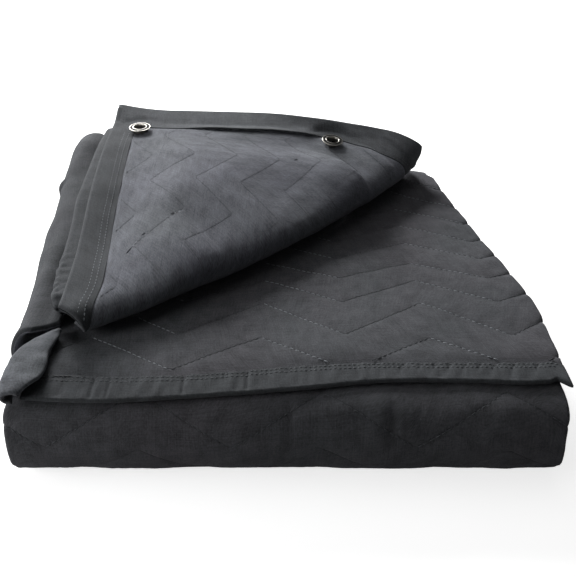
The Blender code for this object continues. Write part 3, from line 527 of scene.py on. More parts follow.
def mix_colours(tree, share, first, second):
    """A colour that is this share of the way from the first to the second."""
    return add_node(tree, "ShaderNodeMix", {0: share, 6: (*first, 1), 7: (*second, 1)},
                    data_type="RGBA").outputs[2]


def new_material(name, values):
    """A material, its node tree and its shader's inputs, some of them set to values."""
    made = bpy.data.materials.new(name)
    made.use_nodes = True
    shader = made.node_tree.nodes["Principled BSDF"].inputs
    for label, value in values.items():
        shader[label].default_value = value
    return made, made.node_tree, shader


# %% An empty node group
def new_group(name, inputs, outputs):
    """An empty shader node group whose sockets are numbers."""
    tree = bpy.data.node_groups.new(name, "ShaderNodeTree")
    for label, default in inputs.items():
        socket = tree.interface.new_socket(label, in_out="INPUT", socket_type="NodeSocketFloat")
        socket.default_value = default
    for label in outputs:
        tree.interface.new_socket(label, in_out="OUTPUT", socket_type="NodeSocketFloat")
    return tree, tree.nodes.new("NodeGroupInput").outputs, tree.nodes.new("NodeGroupOutput").inputs


# %% The weave and the stitched channel, as node groups
YARN = 0.0011
STREAK_SCALE = (900.0, 22.0)


def weave_group():
    """Yarn height and streaks from the UV map, which is in metres."""
    tree, given, out = new_group("plain_weave", {"Yarn": YARN}, ["Height", "Streak", "Mottle"])
    place = add_node(tree, "ShaderNodeUVMap", uv_map="cloth").outputs[0]
    split = add_node(tree, "ShaderNodeSeparateXYZ", {0: place}).outputs
    turn = maths(tree, "DIVIDE", 2 * math.pi, given["Yarn"])
    warp = maths(tree, "SINE", maths(tree, "MULTIPLY", split[0], turn))
    weft = maths(tree, "SINE", maths(tree, "MULTIPLY", split[1], turn))
    crossing = maths(tree, "MULTIPLY", warp, weft)
    streaks = []
    for scale in (STREAK_SCALE, STREAK_SCALE[::-1]):
        stretched = add_node(tree, "ShaderNodeMapping", {"Vector": place, "Scale": (*scale, 1.0)}).outputs[0]
        streaks.append(noise(tree, stretched, 1.0, 2.0, flat=True))
    streak = maths(tree, "SUBTRACT", maths(tree, "ADD", streaks[0], streaks[1]), 1.0)
    coarse = noise(tree, place, 60.0, 4.0, 0.6, flat=True)
    fine = noise(tree, place, 420.0, 3.0, 0.7, flat=True)
    mottle = maths(tree, "ADD", maths(tree, "MULTIPLY", coarse, 0.45), maths(tree, "MULTIPLY", fine, 0.55))
    height = maths(tree, "ADD", maths(tree, "MULTIPLY", crossing, 0.5), maths(tree, "MULTIPLY", streak, 1.2))
    tree.links.new(height, out["Height"])
    tree.links.new(streak, out["Streak"])
    tree.links.new(maths(tree, "SUBTRACT", mottle, 0.5), out["Mottle"])
    return tree


def channel_group():
    """How near a place is to a line of stitches: 1 on it and 0 away from it, closely and widely."""
    tree, given, out = new_group("stitched_channel", {"Width": 0.025}, ["Channel", "Wide"])
    line = add_node(tree, "ShaderNodeAttribute", attribute_name="line").outputs["Fac"]
    near = maths(tree, "ABSOLUTE", maths(tree, "SUBTRACT", line, maths(tree, "ROUND", line)))
    share = maths(tree, "DIVIDE", near, given["Width"])
    channel = maths(tree, "SUBTRACT", 1.0, maths(tree, "MINIMUM", share, 1.0))
    wide = maths(tree, "SUBTRACT", 1.0, maths(tree, "MINIMUM", maths(tree, "DIVIDE", share, 5.0), 1.0))
    tree.links.new(maths(tree, "SMOOTH_MIN", channel, 1.0, 0.1), out["Channel"])
    tree.links.new(maths(tree, "MULTIPLY", wide, wide), out["Wide"])
    return tree


WEAVE = weave_group()
CHANNEL = channel_group()
print("groups", WEAVE.name, CHANNEL.name)

# %% Cloth materials
def cloth_material(name, colour, tint, yarn=YARN, bump=0.5, channel=None):
    """Woven cloth: its colour drifts a little towards a tint, and its yarns stand up. With channel, it also
    paints shade along the lines of stitches.
    """
    made, tree, shader = new_material(name, {
        "Roughness": 0.9, "Sheen Weight": 0.12, "Sheen Roughness": 0.6,
        "Sheen Tint": (0.82, 0.83, 0.90, 1), "Specular IOR Level": 0.25})
    weave = add_node(tree, "ShaderNodeGroup", {"Yarn": yarn}, node_tree=WEAVE).outputs
    place = add_node(tree, "ShaderNodeTexCoord").outputs["Object"]
    drift = spread_out(tree, noise(tree, place, 7.0, 3.0), 0.35, 0.68)
    light = maths(tree, "MULTIPLY_ADD", weave["Streak"], 0.60, 1.0)
    light = maths(tree, "MULTIPLY_ADD", weave["Mottle"], 2.2, light)
    fuzz = maths(tree, "MULTIPLY_ADD", weave["Mottle"], 1.5, weave["Height"])
    bumped = add_node(tree, "ShaderNodeBump", {"Strength": bump, "Distance": 0.0003, "Height": fuzz})
    if channel:
        lines = add_node(tree, "ShaderNodeGroup", node_tree=CHANNEL).outputs
        # painted shade: the colour is darkened in the stitched channels, and a little more widely beside them
        light = maths(tree, "MULTIPLY", light, maths(tree, "MULTIPLY_ADD", lines["Channel"], -channel, 1.0))
        light = maths(tree, "MULTIPLY", light, maths(tree, "MULTIPLY_ADD", lines["Wide"], -0.06, 1.0))
        sunk = {"Strength": 2 * channel, "Distance": 0.0010, "Height": lines["Channel"]}
        deep = add_node(tree, "ShaderNodeBump", sunk, invert=True)
        tree.links.new(deep.outputs[0], bumped.inputs["Normal"])
    shaded = {0: mix_colours(tree, drift, colour, tint), "Scale": light}
    shaded = add_node(tree, "ShaderNodeVectorMath", shaded, operation="SCALE").outputs[0]
    tree.links.new(shaded, shader["Base Color"])
    tree.links.new(bumped.outputs[0], shader["Normal"])
    return made


TAPE_YARN = 0.0013
DARK = (0.073, 0.071, 0.079)
DARK_TINT = (0.063, 0.067, 0.073)
SLATE = (0.140, 0.145, 0.170)
SLATE_TINT = (0.125, 0.134, 0.146)
TAPE = (0.060, 0.064, 0.070)
TAPE_TINT = (0.067, 0.073, 0.078)
# painted shade: a darker copy of the binding tape, for tape that lies in shade along the front, down the
# turned corner's left side and on the ply's folded edge
SHADED_TAPE_COLOUR = (0.045, 0.049, 0.053)
SHADED_TINT = (0.042, 0.046, 0.049)
# painted shade: a darker copy of the dark quilt, for the ply on the stack's left side
PLY_SHADE_COLOUR = (0.046, 0.048, 0.053)
# painted shade: a darker copy of the slate reverse, for the curled corner
SLATE_SHADE, SLATE_SHADE_TINT = (0.098, 0.102, 0.116), (0.085, 0.092, 0.100)
dark_cloth = cloth_material("dark_quilt", DARK, DARK_TINT, channel=0.18)
light_cloth = cloth_material("slate_reverse", SLATE, SLATE_TINT, channel=0.07)
tape_cloth = cloth_material("binding_tape", TAPE, TAPE_TINT, yarn=TAPE_YARN, bump=0.45)
shaded_tape = cloth_material("binding_tape_painted_shade", SHADED_TINT, SHADED_TAPE_COLOUR, yarn=TAPE_YARN, bump=0.45)
ply_shaded_cloth = cloth_material("dark_quilt_painted_shade", PLY_SHADE_COLOUR, SHADED_TINT)
slate_shaded_cloth = cloth_material("slate_painted_shade", SLATE_SHADE, SLATE_SHADE_TINT)


def thread_material(name, dark, light):
    """Twisted thread: its colour runs from dark to light in short lengths."""
    made, tree, shader = new_material(name, {"Roughness": 0.7})
    place = add_node(tree, "ShaderNodeTexCoord").outputs["Object"]
    share = spread_out(tree, noise(tree, place, 340.0, 3.0), 0.35, 0.65)
    tree.links.new(mix_colours(tree, share, dark, light), shader["Base Color"])
    return made


thread_dark = thread_material("thread_dark", (0.050, 0.055, 0.060), (0.11, 0.12, 0.13))
thread_light = thread_material("thread_light", (0.19, 0.21, 0.23), (0.30, 0.32, 0.34))
thread_flap = thread_material("thread_flap", (0.11, 0.12, 0.14), (0.18, 0.19, 0.21))
thread_flap_painted_shade = thread_material("thread_flap_painted_shade", (0.070, 0.075, 0.085), (0.11, 0.12, 0.13))
thread_tape = thread_material("thread_tape", (0.080, 0.090, 0.096), (0.16, 0.17, 0.18))
print("cloth materials", dark_cloth.name, light_cloth.name, tape_cloth.name)

# %% [markdown]
# ## The folded stack
#
# One strip of quilt makes the whole stack: it runs back over the top, round the rear fold, forward
# along the floor, round the front fold and then back and forth inside. So its shape is one line seen
# from the side, and the strip is that line swept across. The stitched zigzags belong to the cloth:
# every row of points follows them, and rows are closest together at a line of stitches, where the
# cloth dips.

# %% The stack seen from the side
FRONT_RUN = 0.05
TURN_CLEARANCE = 0.0035


def bulge(z, depth):
    """How far an outer fold reaches at a height."""
    half = (TOP_Z - BOTTOM_Z) / 2
    part = min(abs((z - BOTTOM_Z - half) / half), 1.0)
    return depth * (1 - part**FULLNESS) ** (1 / FULLNESS)


def outer_turn(y, low, high, depth, way, steps=60):
    """A full soft fold between two heights."""
    angles = way * math.pi * (np.arange(1, steps + 1) / steps - 0.5)
    out = depth * np.abs(np.cos(angles)) ** (2 / FULLNESS)
    up = np.sign(angles) * np.abs(np.sin(angles)) ** (2 / FULLNESS)
    return list(zip(y + out, (low + high) / 2 + (high - low) / 2 * up))


def hairpin(y, top, bottom, way, steps=12):
    """A tight turn from one layer down to the next."""
    angles = math.pi * (0.5 - np.arange(steps + 1) / steps)
    radius = (top - bottom) / 2
    return list(zip(y + way * radius * np.cos(angles), (top + bottom) / 2 + radius * np.sin(angles)))


def path_length(points):
    """How far the end of a line is from the stack's front, along the line."""
    steps = np.diff(np.array(points), axis=0)
    return float(np.hypot(steps[:, 0], steps[:, 1]).sum()) - FRONT_RUN


def stack_path():
    """The strip's line, the distance along it at each point, and the distances to its folds."""
    points, stops = [(-FRONT_RUN, TOP_Z), (REAR_Y, TOP_Z)], {}
    points += outer_turn(REAR_Y, BOTTOM_Z, TOP_Z, REAR_DEPTH, -1)
    stops["floor"] = path_length(points)
    points.append((FRONT_Y, BOTTOM_Z))
    stops["front"] = path_length(points)
    points += outer_turn(FRONT_Y, BOTTOM_Z, TOP_Z - PITCH, -FRONT_DEPTH, 1)
    stops["second"] = path_length(points)
    for layer in range(1, LAYERS - 2):
        top = TOP_Z - layer * PITCH
        forwards = layer % 2 == 0
        depth = FRONT_DEPTH if forwards else REAR_DEPTH
        inside = bulge(top - PITCH / 2, depth) - CLOTH - TURN_CLEARANCE - PITCH / 2
        turn_y = FRONT_Y - inside if forwards else REAR_Y + inside
        points.append((turn_y, top))
        stops[f"turn_{layer}"] = path_length(points)
        points += hairpin(turn_y, top, top - PITCH, -1 if forwards else 1)
        stops[f"turned_{layer}"] = path_length(points)
    last = BOTTOM_Z + PITCH
    points.append((FRONT_Y - bulge(last, FRONT_DEPTH) + CLOTH + TURN_CLEARANCE, last))
    stops["end"] = path_length(points)
    line = np.array(points)
    steps = np.hypot(*np.diff(line, axis=0).T)
    return line, np.concatenate([[0], np.cumsum(steps)]) - FRONT_RUN, stops


PATH, PATH_ALONG, STOPS = stack_path()
print("strip length", round(STOPS["end"], 3), "folds at", round(STOPS["floor"], 3), round(STOPS["front"], 3))

# %% Rows of points that follow the stitching
CLOSE_ROWS = np.array([0, 0.012, 0.030, 0.065, 0.12, 0.20, 0.31, 0.44, 0.56, 0.69, 0.80, 0.88, 0.935,
                       0.970, 0.988])
INNER_START, TURN_MARGIN = 0.27, 0.03
# how far each layer's edges are moved in or out, from the second layer down
LAYER_STEPS = [(0.010, -0.003), (0.005, 0.001), (0.004, -0.004), (0.002, 0.000), (0.004, -0.005),
               (0.001, -0.002), (0.003, 0.001)]


def line_rows(table, start):
    """Rows from a table's first line of stitches to its last: their peaks and valleys."""
    lines = np.array(table, float)
    numbers = (np.arange(lines[0, 0], lines[-1, 0])[:, None] + CLOSE_ROWS).ravel()
    numbers = np.append(numbers, lines[-1, 0])
    return [(start + np.interp(n, lines[:, 0], lines[:, 1]), start + np.interp(n, lines[:, 0], lines[:, 2]))
            for n in numbers]


def level_rows(low, high, count):
    """Rows straight across the strip."""
    return [(at, at) for at in np.linspace(low, high, count)]


def side_stops():
    """How the strip's side edges step in and out along it."""
    front = STOPS["front"]
    table = [(STOPS["floor"], 0.004, -0.002), (front, 0.001, -0.001), (front + 0.045, 0.000, 0.002),
             (front + 0.085, 0.002, -0.002), (front + 0.112, 0.001, 0.001), (STOPS["second"], 0.006, 0.000)]
    for layer, (left, right) in enumerate(LAYER_STEPS, start=1):
        table.append((STOPS[f"turn_{layer}"] - 0.05, left, right))
    return table + [(STOPS["end"], 0.002, -0.003)]


top_rows = line_rows(TOP_LINES, 0.0)
front_rows = level_rows(STOPS["floor"], STOPS["front"] - 0.05, 7) + line_rows(FRONT_LINES, STOPS["front"])
inner_rows, begin = [], STOPS["front"] + INNER_START
for layer in range(1, LAYERS - 2):
    turn, turned_at = STOPS[f"turn_{layer}"], STOPS[f"turned_{layer}"]
    inner_rows += level_rows(begin, turn - TURN_MARGIN, 7) + level_rows(turn, turned_at, 8)
    begin = turned_at + TURN_MARGIN
inner_rows += level_rows(begin, STOPS["end"], 7)
print("rows", len(top_rows), len(front_rows), len(inner_rows))

# %% Lay out the strip
STRIP_WIDTH, COLUMN_STEP, FIRST_EDGES = 0.57, 0.0050, (-0.29, 0.28)
PANEL_SPACING, FRONT_LINE_PHASE = 0.048, FRONT_PHASE + ZIGZAG / 2


def path_at(at):
    """The strip's y and z at distances along it."""
    return np.interp(at, PATH_ALONG, PATH[:, 0]), np.interp(at, PATH_ALONG, PATH[:, 1])


def lifted(x, y, z):
    """Points of the strip, raised where more layers lie under the turned corner."""
    share = (z - BOTTOM_Z) / (TOP_Z - BOTTOM_Z)
    return as_points(x, y, z + lift(x, np.minimum(y, REAR_Y)) * share)


def stack_edges(y, at, on_top):
    """The strip's left and right edges."""
    sides = side_stops()
    edge_y = np.where(at < REAR_Y, y, REAR_Y + 0.05)
    fade = smooth(REAR_Y, STOPS["floor"], at)
    edges = []
    for column in (1, 2):
        upper = blend(read(TOP_EDGES, column, edge_y), read(LOWER_EDGES, column, edge_y), fade)
        lower = read(LOWER_EDGES, column, y) + read(sides, column, at)
        edges.append(np.where(on_top, upper, lower))
    return edges


def seam_y(x):
    """Where the front binding's seam crosses the top panel."""
    return read(FRONT_HEM, 2, x)


def line_numbers(table, start, at, x, phase):
    """Which line of stitches each point is at, with the share of the way to the next one."""
    lines = np.array(table, float)
    places = start + blend(lines[:, 2, None, None], lines[:, 1, None, None], zigzag(x, phase))
    number = np.full(at.shape, lines[0, 0] + BETWEEN_LINES)
    for i in range(len(lines) - 1):
        share = (at - places[i]) / (places[i + 1] - places[i])
        number = np.where((share >= 0) & (share <= 1), lines[i, 0] + share, number)
    return number


def stack_grid():
    """The strip's points before they are raised, the distance along it and the line of stitches at
    each one, and which rows are on the top panel."""
    rows = np.array(top_rows + front_rows + inner_rows)
    on_top = (np.arange(len(rows)) < len(top_rows))[:, None]
    share = edge_steps(STRIP_WIDTH, COLUMN_STEP, CLOTH / 2)
    share = share / share[-1]
    x = np.broadcast_to(blend(*FIRST_EDGES, share), (len(rows), len(share)))
    # the zigzags move a row in y, and the edges that x depends on change with y
    for _ in range(4):
        wave = np.where(on_top, zigzag(x, TOP_PHASE), zigzag(x, FRONT_LINE_PHASE))
        at = blend(rows[:, 1:2], rows[:, 0:1], wave)
        limit = seam_y(x) - 0.006 + 0.0002 * np.arange(len(rows))[:, None]
        at = np.where(on_top, np.maximum(at, limit), at)
        y, z = path_at(at)
        left, right = stack_edges(y, at, on_top)
        x = blend(left, right, share)
    number = np.where(on_top, line_numbers(TOP_LINES, 0.0, at, x, TOP_PHASE),
                      line_numbers(FRONT_LINES, STOPS["front"], at, x, FRONT_LINE_PHASE))
    return x, y, z, at, number, on_top


# %% Raise the quilting
# how far the quilting stands up, and how deep and how far from the edge its lines draw that edge in
PUFF, PUCKER, PUCKER_REACH, DRAWN_IN = 0.0010, 0.0020, 0.014, 0.0007


def puff_of(number, spacing, reach=0.008):
    """How far quilt stands up beside its lines of stitches, from 0 to 1."""
    away = np.abs(number - np.round(number)) * spacing
    return 1 - np.exp(-away / reach)


def fades(x, y, at):
    """How much the quilting shows at a place: as part of the top panel, and of the front fold."""
    on_panel = smooth(0.0, 0.022, y - seam_y(x)) * smooth(STOPS["floor"] - 0.02, STOPS["floor"] - 0.07, at)
    at_front = smooth(0.012, 0.045, at - STOPS["front"])
    return on_panel, at_front * smooth(STOPS["second"] + 0.06, STOPS["second"] + 0.02, at)


def uneven(x, at):
    """Soft rises and hollows in the strip."""
    return 0.0010 * bumps(x, at, 0.13, 3) + 0.0005 * bumps(x, at, 0.035, 5)


# x, then how deep the front fold's upright wrinkle there is
FRONT_WRINKLES = [(0.002, 0.0016), (0.106, 0.0022), (0.121, 0.0012), (0.134, 0.0024), (0.147, 0.0014)]
WRINKLE_WIDTH, WRINKLE_Z, WRINKLE_HEIGHT, WRINKLE_BACK_Y = 0.0055, 0.078, 0.020, 0.01
CHANNEL_WIDTH = 0.0030


def stack_points():
    """The strip with its quilting raised, its half thickness, and each point's line of stitches."""
    x, y, z, at, number, on_top = stack_grid()
    fade = np.where(on_top, *fades(x, y, at))
    raised = PUFF * puff_of(number, PANEL_SPACING) * fade + uneven(x, at) * fade
    front_face = ~on_top * (y < WRINKLE_BACK_Y) * bell(z, WRINKLE_Z, WRINKLE_HEIGHT)
    for place, deep in FRONT_WRINKLES:
        raised = raised - deep * bell(x, place, WRINKLE_WIDTH) * front_face
    edge = np.minimum(x - x[:, :1], x[:, -1:] - x)
    on_line = bell(np.abs(number - np.round(number)) * PANEL_SPACING, 0.0, CHANNEL_WIDTH)
    drawn = np.where(on_top, on_line, 0.6 * on_line) * bell(edge, 0.0, PUCKER_REACH) * (fade > 0.3)
    raised = raised - PUCKER * drawn
    points = as_points(x - np.sign(x) * DRAWN_IN * drawn, y, z)
    points = points + normals_of(points) * raised[..., None]
    points = lifted(points[..., 0], points[..., 1], points[..., 2])
    near = np.where(on_top, y - seam_y(x), 1.0)
    half = blend(0.0020, CLOTH / 2, smooth(-0.003, 0.010, near))
    return points, half, np.where(fade > 0.02, number, BETWEEN_LINES)


points, half, number = stack_points()
stack = cloth("quilted_stack_cloth", points, half, dark_cloth, light_cloth, line=number, rounding=CLOTH / 2)
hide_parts("quilted_stack")

# %% [markdown]
# ## The turned corner
#
# The upper corner is pulled back so that its lighter reverse shows. Its grid starts at the corner's
# outer edges, runs to the fold and goes on round the roll to a short lip underneath. The same
# function that places the flat part also wraps it round the roll, so nothing has to be fitted.

# %% Lay out the turned corner
# how far its edges lie inside the tapes, and how far its roll's right end slides along the fold
UNDER_TAPE, UNDER_SIDE_TAPE, END_SLIDE = 0.006, 0.016, 0.45
LAST_SIDE_Y = 0.53
# its zigzags: how far they raise the cloth, and their spacing, swing and length
FLAP_PUFF = 0.0004
FLAP_SPACING, FLAP_SWING, FLAP_ZIGZAG = 0.060, 0.054, 0.131
FLAP_RIGHT_X, FLAP_LEFT_Y = -0.132, 0.334


def roll_place(q, into):
    """A place on the turned cloth, laid flat, at q along the fold and a distance into its roll."""
    base = FOLD_START + ALONG * np.asarray(q)[..., None]
    front_x, front_y, reach = roll_section(base[..., 0], base[..., 1])[:3]
    return np.stack([front_x + ACROSS[0] * (reach - into), front_y + ACROSS[1] * (reach - into)], -1)


def end_at_back(into):
    """How far along the fold line the cloth ends at its back edge, a distance into the roll."""
    def before_edge(q):
        """Whether the cloth there is still in front of its back edge."""
        place = roll_place(q, into)
        return place[..., 1] <= strip_back(place[..., 0]) - UNDER_TAPE
    return last_fit(np.full_like(into, 0.6 * FOLD_LENGTH), np.full_like(into, 1.3 * FOLD_LENGTH), before_edge)


def far_edge(count):
    """Places along the turned corner's outer edges, from its front left round to the roll."""
    start_y, end_x = 0.150, 0.085
    corner_x = side_edge(3, LAST_SIDE_Y) - UNDER_SIDE_TAPE
    corner_y = strip_back(corner_x) - UNDER_TAPE
    ys = np.linspace(start_y, corner_y, count // 2 + 1)[:-1]
    xs = np.linspace(corner_x, end_x, count - count // 2)
    side = np.stack([side_edge(3, ys) - UNDER_SIDE_TAPE, ys], -1)
    return np.concatenate([side, np.stack([xs, strip_back(xs) - UNDER_TAPE], -1)])


def corner_places(lines=150, flat_rows=90, roll_rows=44):
    """The turned corner's grid of places, laid flat, from its edges over the roll to its lip."""
    share = np.linspace(0, 1, lines)
    last = float(end_at_back(np.array([0.0]))[0])
    q = blend(CORNER_START, last, share)
    start = roll_place(q, 0.0)
    section = roll_section(start[:, 0], start[:, 1])
    rounded = quarter(section[2], section[3]) + quarter(np.full(lines, ROLL_LOWER), section[3])
    steps = edge_steps(1.0, 1.0 / flat_rows, 0.012)[:, None]
    flat = blend(far_edge(lines)[:, None, :], start[:, None, :], steps)
    flat[0, :, 0] = side_edge(3, flat[0, :, 1]) - UNDER_SIDE_TAPE
    flat[-1, :, 1] = strip_back(flat[-1, :, 0]) - UNDER_TAPE
    into = np.linspace(0, 1, roll_rows + 1)[1:] * (rounded[:, None] + LIP)
    slide = smooth(0.55, 1.0, share)[:, None] * END_SLIDE * (end_at_back(into) - last)
    rolled = roll_place(q[:, None] + slide, into)
    return np.concatenate([flat, rolled], axis=1)


# %% The turned corner's stitching and thickness
def flap_number(x, y):
    """The line of stitches that a place on the turned corner is at. Its lines run front to back."""
    return (x - FLAP_RIGHT_X + FLAP_SWING * zigzag(y, FLAP_LEFT_Y, FLAP_ZIGZAG)) / FLAP_SPACING


def strip_width(x):
    """How wide the binding along the back edge is."""
    return read(STRIP_WIDTHS, 1, x)


def from_tapes(x, y):
    """How far a place on the turned corner is from the nearer tape's inner edge."""
    return np.minimum(x - read(SIDE_TAPE, 1, y), strip_back(x) - strip_width(x) - y)


def flap_fade(x, y):
    """How much the turned corner's quilting shows: not beside a tape or an eyelet."""
    return smooth(0.0, 0.020, from_tapes(x, y)) * off_eyelets(x, y)


def flap_uneven(x, y):
    """Soft rises and hollows in the turned corner."""
    return flap_fade(x, y) * (0.0009 * bumps(x, y, 0.11, 8) + 0.0004 * bumps(x, y, 0.035, 9))


def flap_points():
    """The turned corner with its quilting raised, its half thickness, and its lines of stitches."""
    places = corner_places()
    x, y = places[..., 0], places[..., 1]
    points = turned(x, y)
    number = flap_number(x, y)
    raised = flap_fade(x, y) * FLAP_PUFF * puff_of(number, FLAP_SPACING * 0.8) + flap_uneven(x, y)
    half = blend(0.0022, CLOTH / 2, smooth(-0.005, 0.005, from_tapes(x, y)))
    return points + normals_of(points) * raised[..., None], half, number


points, half, number = flap_points()
corner = cloth("turned_corner_cloth", points, half, light_cloth, dark_cloth, line=number, rounding=CLOTH / 2)
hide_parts("turned_corner")

# %% [markdown]
# ## Tape bound round the edges
#
# The quilt's cut edges are covered by a folded tape: it lies on top, goes round the edge and comes
# back underneath. So its section is a narrow U, and the quilt's edge sits inside. The U is swept
# along each edge over the same surfaces as the cloth.

# %% Make a bound edge
TAPE_THICK = 0.0012


def rounded_ends(ends, reach, least=0.04):
    """How full a tape's fold is at distances from its ends, where it closes in a curve."""
    return np.sqrt(np.clip(1 - (1 - np.clip(ends / reach, 0, 1)) ** 2, least, 1))


def tape_section(width, radius, under, top_steps=16, arc_steps=9):
    """Distances in from the free edge and sides, 1 above to -1 below, round a narrow U."""
    turn = np.linspace(math.pi / 2, -math.pi / 2, arc_steps)
    top = edge_steps(1.0, 1.0 / top_steps, 0.02)[::-1][:-1]
    bottom = np.linspace(0, 1, 7)[1:]
    inward = np.concatenate([radius + (width - radius) * top, radius * (1 - np.cos(turn)),
                             radius + (under - radius) * bottom])
    return inward, np.concatenate([np.ones(len(top)), np.sin(turn), -np.ones(len(bottom))])


def bound_edge(name, place, along, width, radius, under, material, raised=None, flip=False, inner=None):
    """A tape folded round an edge. place(along, inward) gives a point of the cloth inside it, and
    inner is how far above that the tape's inner edge lies."""
    sections = [tape_section(w, r, u) for w, r, u in zip(width, radius, under)]
    inward = np.array([s[0] for s in sections])
    side = np.array([s[1] for s in sections])
    spread = np.broadcast_to(along[:, None], inward.shape)
    middle = place(spread, inward)
    step = 0.0008
    across = place(spread, inward + step) - place(spread, inward - step)
    down = place(spread + step, inward) - place(spread - step, inward)
    normal = np.cross(down, across)
    normal /= np.linalg.norm(normal, axis=2, keepdims=True)
    normal *= -1 if flip else 1
    sink = 0 if inner is None else (radius - inner)[:, None] * smooth(0.25, 0.95, inward / width[:, None])
    points = middle + normal * (side * (radius[:, None] - sink))[..., None]
    if raised is not None:
        points = points + normal * (raised(spread, inward) * (side > 0.99))[..., None]
    points = points if flip else points[:, ::-1]
    return cloth(name, points, TAPE_THICK / 2, material, rounding=TAPE_THICK / 2)


# %% The front binding
HEM_RADIUS, HEM_UNDER = 0.0024, 0.026
HEM_LEFT, HEM_RIGHT = -0.270, 0.2930


def hem_width(x):
    """How far the front binding's seam is behind its free edge."""
    return seam_y(x) - read(FRONT_HEM, 1, x)


def hem_place(x, inward):
    """A point of the panel's front edge, so far in from its free edge."""
    share = np.clip(inward / hem_width(x), -0.1, 1.0)
    z = TOP_Z - read(FRONT_HEM, 3, x) * (1 - share) ** 2
    return as_points(x, read(FRONT_HEM, 1, x) + inward, z)


HEM_CREASES = (-0.1995, -0.1830, -0.1076, -0.0421)
CREASE_DEPTH, PUCKER_DEPTH = 0.0013, 0.0012
HEM_PUCKERS = (0.125, 0.143, 0.158, 0.174, 0.190, 0.206, 0.221, 0.242, 0.267)


def hem_raised(x, inward):
    """Soft waves, creases and slanted puckers in the front binding, where its stitching draws it in."""
    wave = 0.0006 * bumps(x, inward * 0.5, 0.030, 12) + 0.0004 * bumps(x, inward * 0.3, 0.011, 13)
    back = hem_width(x) - inward
    creases = sum(bell(x, place, 0.0022) for place in HEM_CREASES)
    puckers = sum(bell(x + 0.5 * back, place, 0.0026) for place in HEM_PUCKERS) * bell(back, 0.0, 0.014)
    return (wave - CREASE_DEPTH * creases - PUCKER_DEPTH * puckers) * smooth(0.0, 0.006, inward)


along = edge_steps(HEM_RIGHT - HEM_LEFT, 0.0014, 0.004) + HEM_LEFT
radius = HEM_RADIUS * rounded_ends(np.minimum(along - HEM_LEFT, HEM_RIGHT - along), 0.005)
width = hem_width(along)
hem = bound_edge("front_binding_cloth", hem_place, along, width, radius, np.full_like(width, HEM_UNDER),
                 shaded_tape, hem_raised)
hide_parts("front_binding")

# %% The binding along the turned corner's back
STRIP_RADIUS, STRIP_UNDER, STRIP_LOWEST = 0.0046, 0.030, 0.0036
STRIP_THINNER, STRIP_THINS = 0.62, (0.10, 0.20)
OPENED, OPENED_STARTS, OPENED_ENDS = 0.0045, (-0.175, -0.100), (0.025, 0.070)


def strip_place(x, inward):
    """A point of the turned corner, so far in from its back edge."""
    return turned(x, strip_back(x) - inward)


def strip_raised(x, inward):
    """The back binding stands a little off the cloth along part of its inner edge."""
    inner = smooth(strip_width(x) - 0.020, strip_width(x), inward)
    opened = smooth(*OPENED_STARTS, x) * (1 - smooth(*OPENED_ENDS, x))
    opened = opened * off_eyelets(x, strip_back(x) - inward)
    wave = 0.0006 * bumps(x, inward * 0.6, 0.045, 22)
    return OPENED * inner * opened + wave * (1 - inner)


start_x = float(side_edge(2, 0.54)) + 0.0005
along = edge_steps(STRIP_END - start_x, 0.003, 0.004) + start_x
radius = STRIP_RADIUS * rounded_ends(np.minimum(along - start_x, STRIP_END - along), 0.010)
radius = radius * blend(1.0, STRIP_THINNER, smooth(*STRIP_THINS, along))
strip = bound_edge("grommet_strip_cloth", strip_place, along, strip_width(along), radius,
                   np.full_like(radius, STRIP_UNDER), tape_cloth, strip_raised, flip=True,
                   inner=np.minimum(radius, STRIP_LOWEST))
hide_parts("grommet_strip")

# %% The binding along the turned corner's left side
SIDE_RADIUS, SIDE_UNDER, SIDE_LOWEST = 0.0042, 0.8, 0.0032
SIDE_BACK = 0.546


def side_width(share):
    """How wide the side binding is, at a share of the way from its front to its back."""
    y = blend(BAND_FRONT_OUTER, SIDE_BACK, share)
    return read(SIDE_TAPE, 1, y) - side_edge(2, y)


def side_place(share, inward):
    """A point of the turned corner, so far in from its left edge."""
    part = inward / side_width(share)
    slant = (BAND_FRONT_INNER - BAND_FRONT_OUTER) * part * (1 - smooth(0.0, 0.45, share))
    y = blend(BAND_FRONT_OUTER, SIDE_BACK, share) + slant
    return turned(blend(side_edge(2, y), read(SIDE_TAPE, 1, y), part), y)


def side_raised(share, inward):
    """Soft waves in the side binding."""
    wave = 0.0006 * bumps(inward * 0.6, share * 0.4, 0.045, 32)
    return wave * smooth(0.0, 0.01, inward)


along = edge_steps(1.0, 0.0075, 0.010)
radius = SIDE_RADIUS * rounded_ends(along * (SIDE_BACK - BAND_FRONT_OUTER), 0.006, 0.05)
width = side_width(along)
band = bound_edge("side_binding_cloth", side_place, along, width, radius, width * SIDE_UNDER, shaded_tape,
                  side_raised, flip=True, inner=np.minimum(radius, SIDE_LOWEST))
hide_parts("side_binding")

# %% [markdown]
# ## The ply underneath, its folded edge and the curled corner
#
# The corner is turned back from a ply that lies on the stack and drapes over its left side. Its bound
# edge shows as a rounded ridge beside the side binding. At the front, the panel's own corner has
# curled up and over.

# %% The draped ply
PLY_FOLD_STARTS = 0.104
# how high or deep its hump, hollow, shoulder, front droop and notch are
HUMP, HOLLOW, SHOULDER, DROOP, NOTCH = 0.011, 0.006, 0.004, 0.014, 0.004


def fold_limit(y):
    """The right-hand end of the draped ply, just behind the roll's lip."""
    return last_fit(np.full_like(y, -0.26), np.full_like(y, 0.24),
                    lambda x: fold_place(x, y)[2] > ROLL_LOWER + LIP + 0.010)


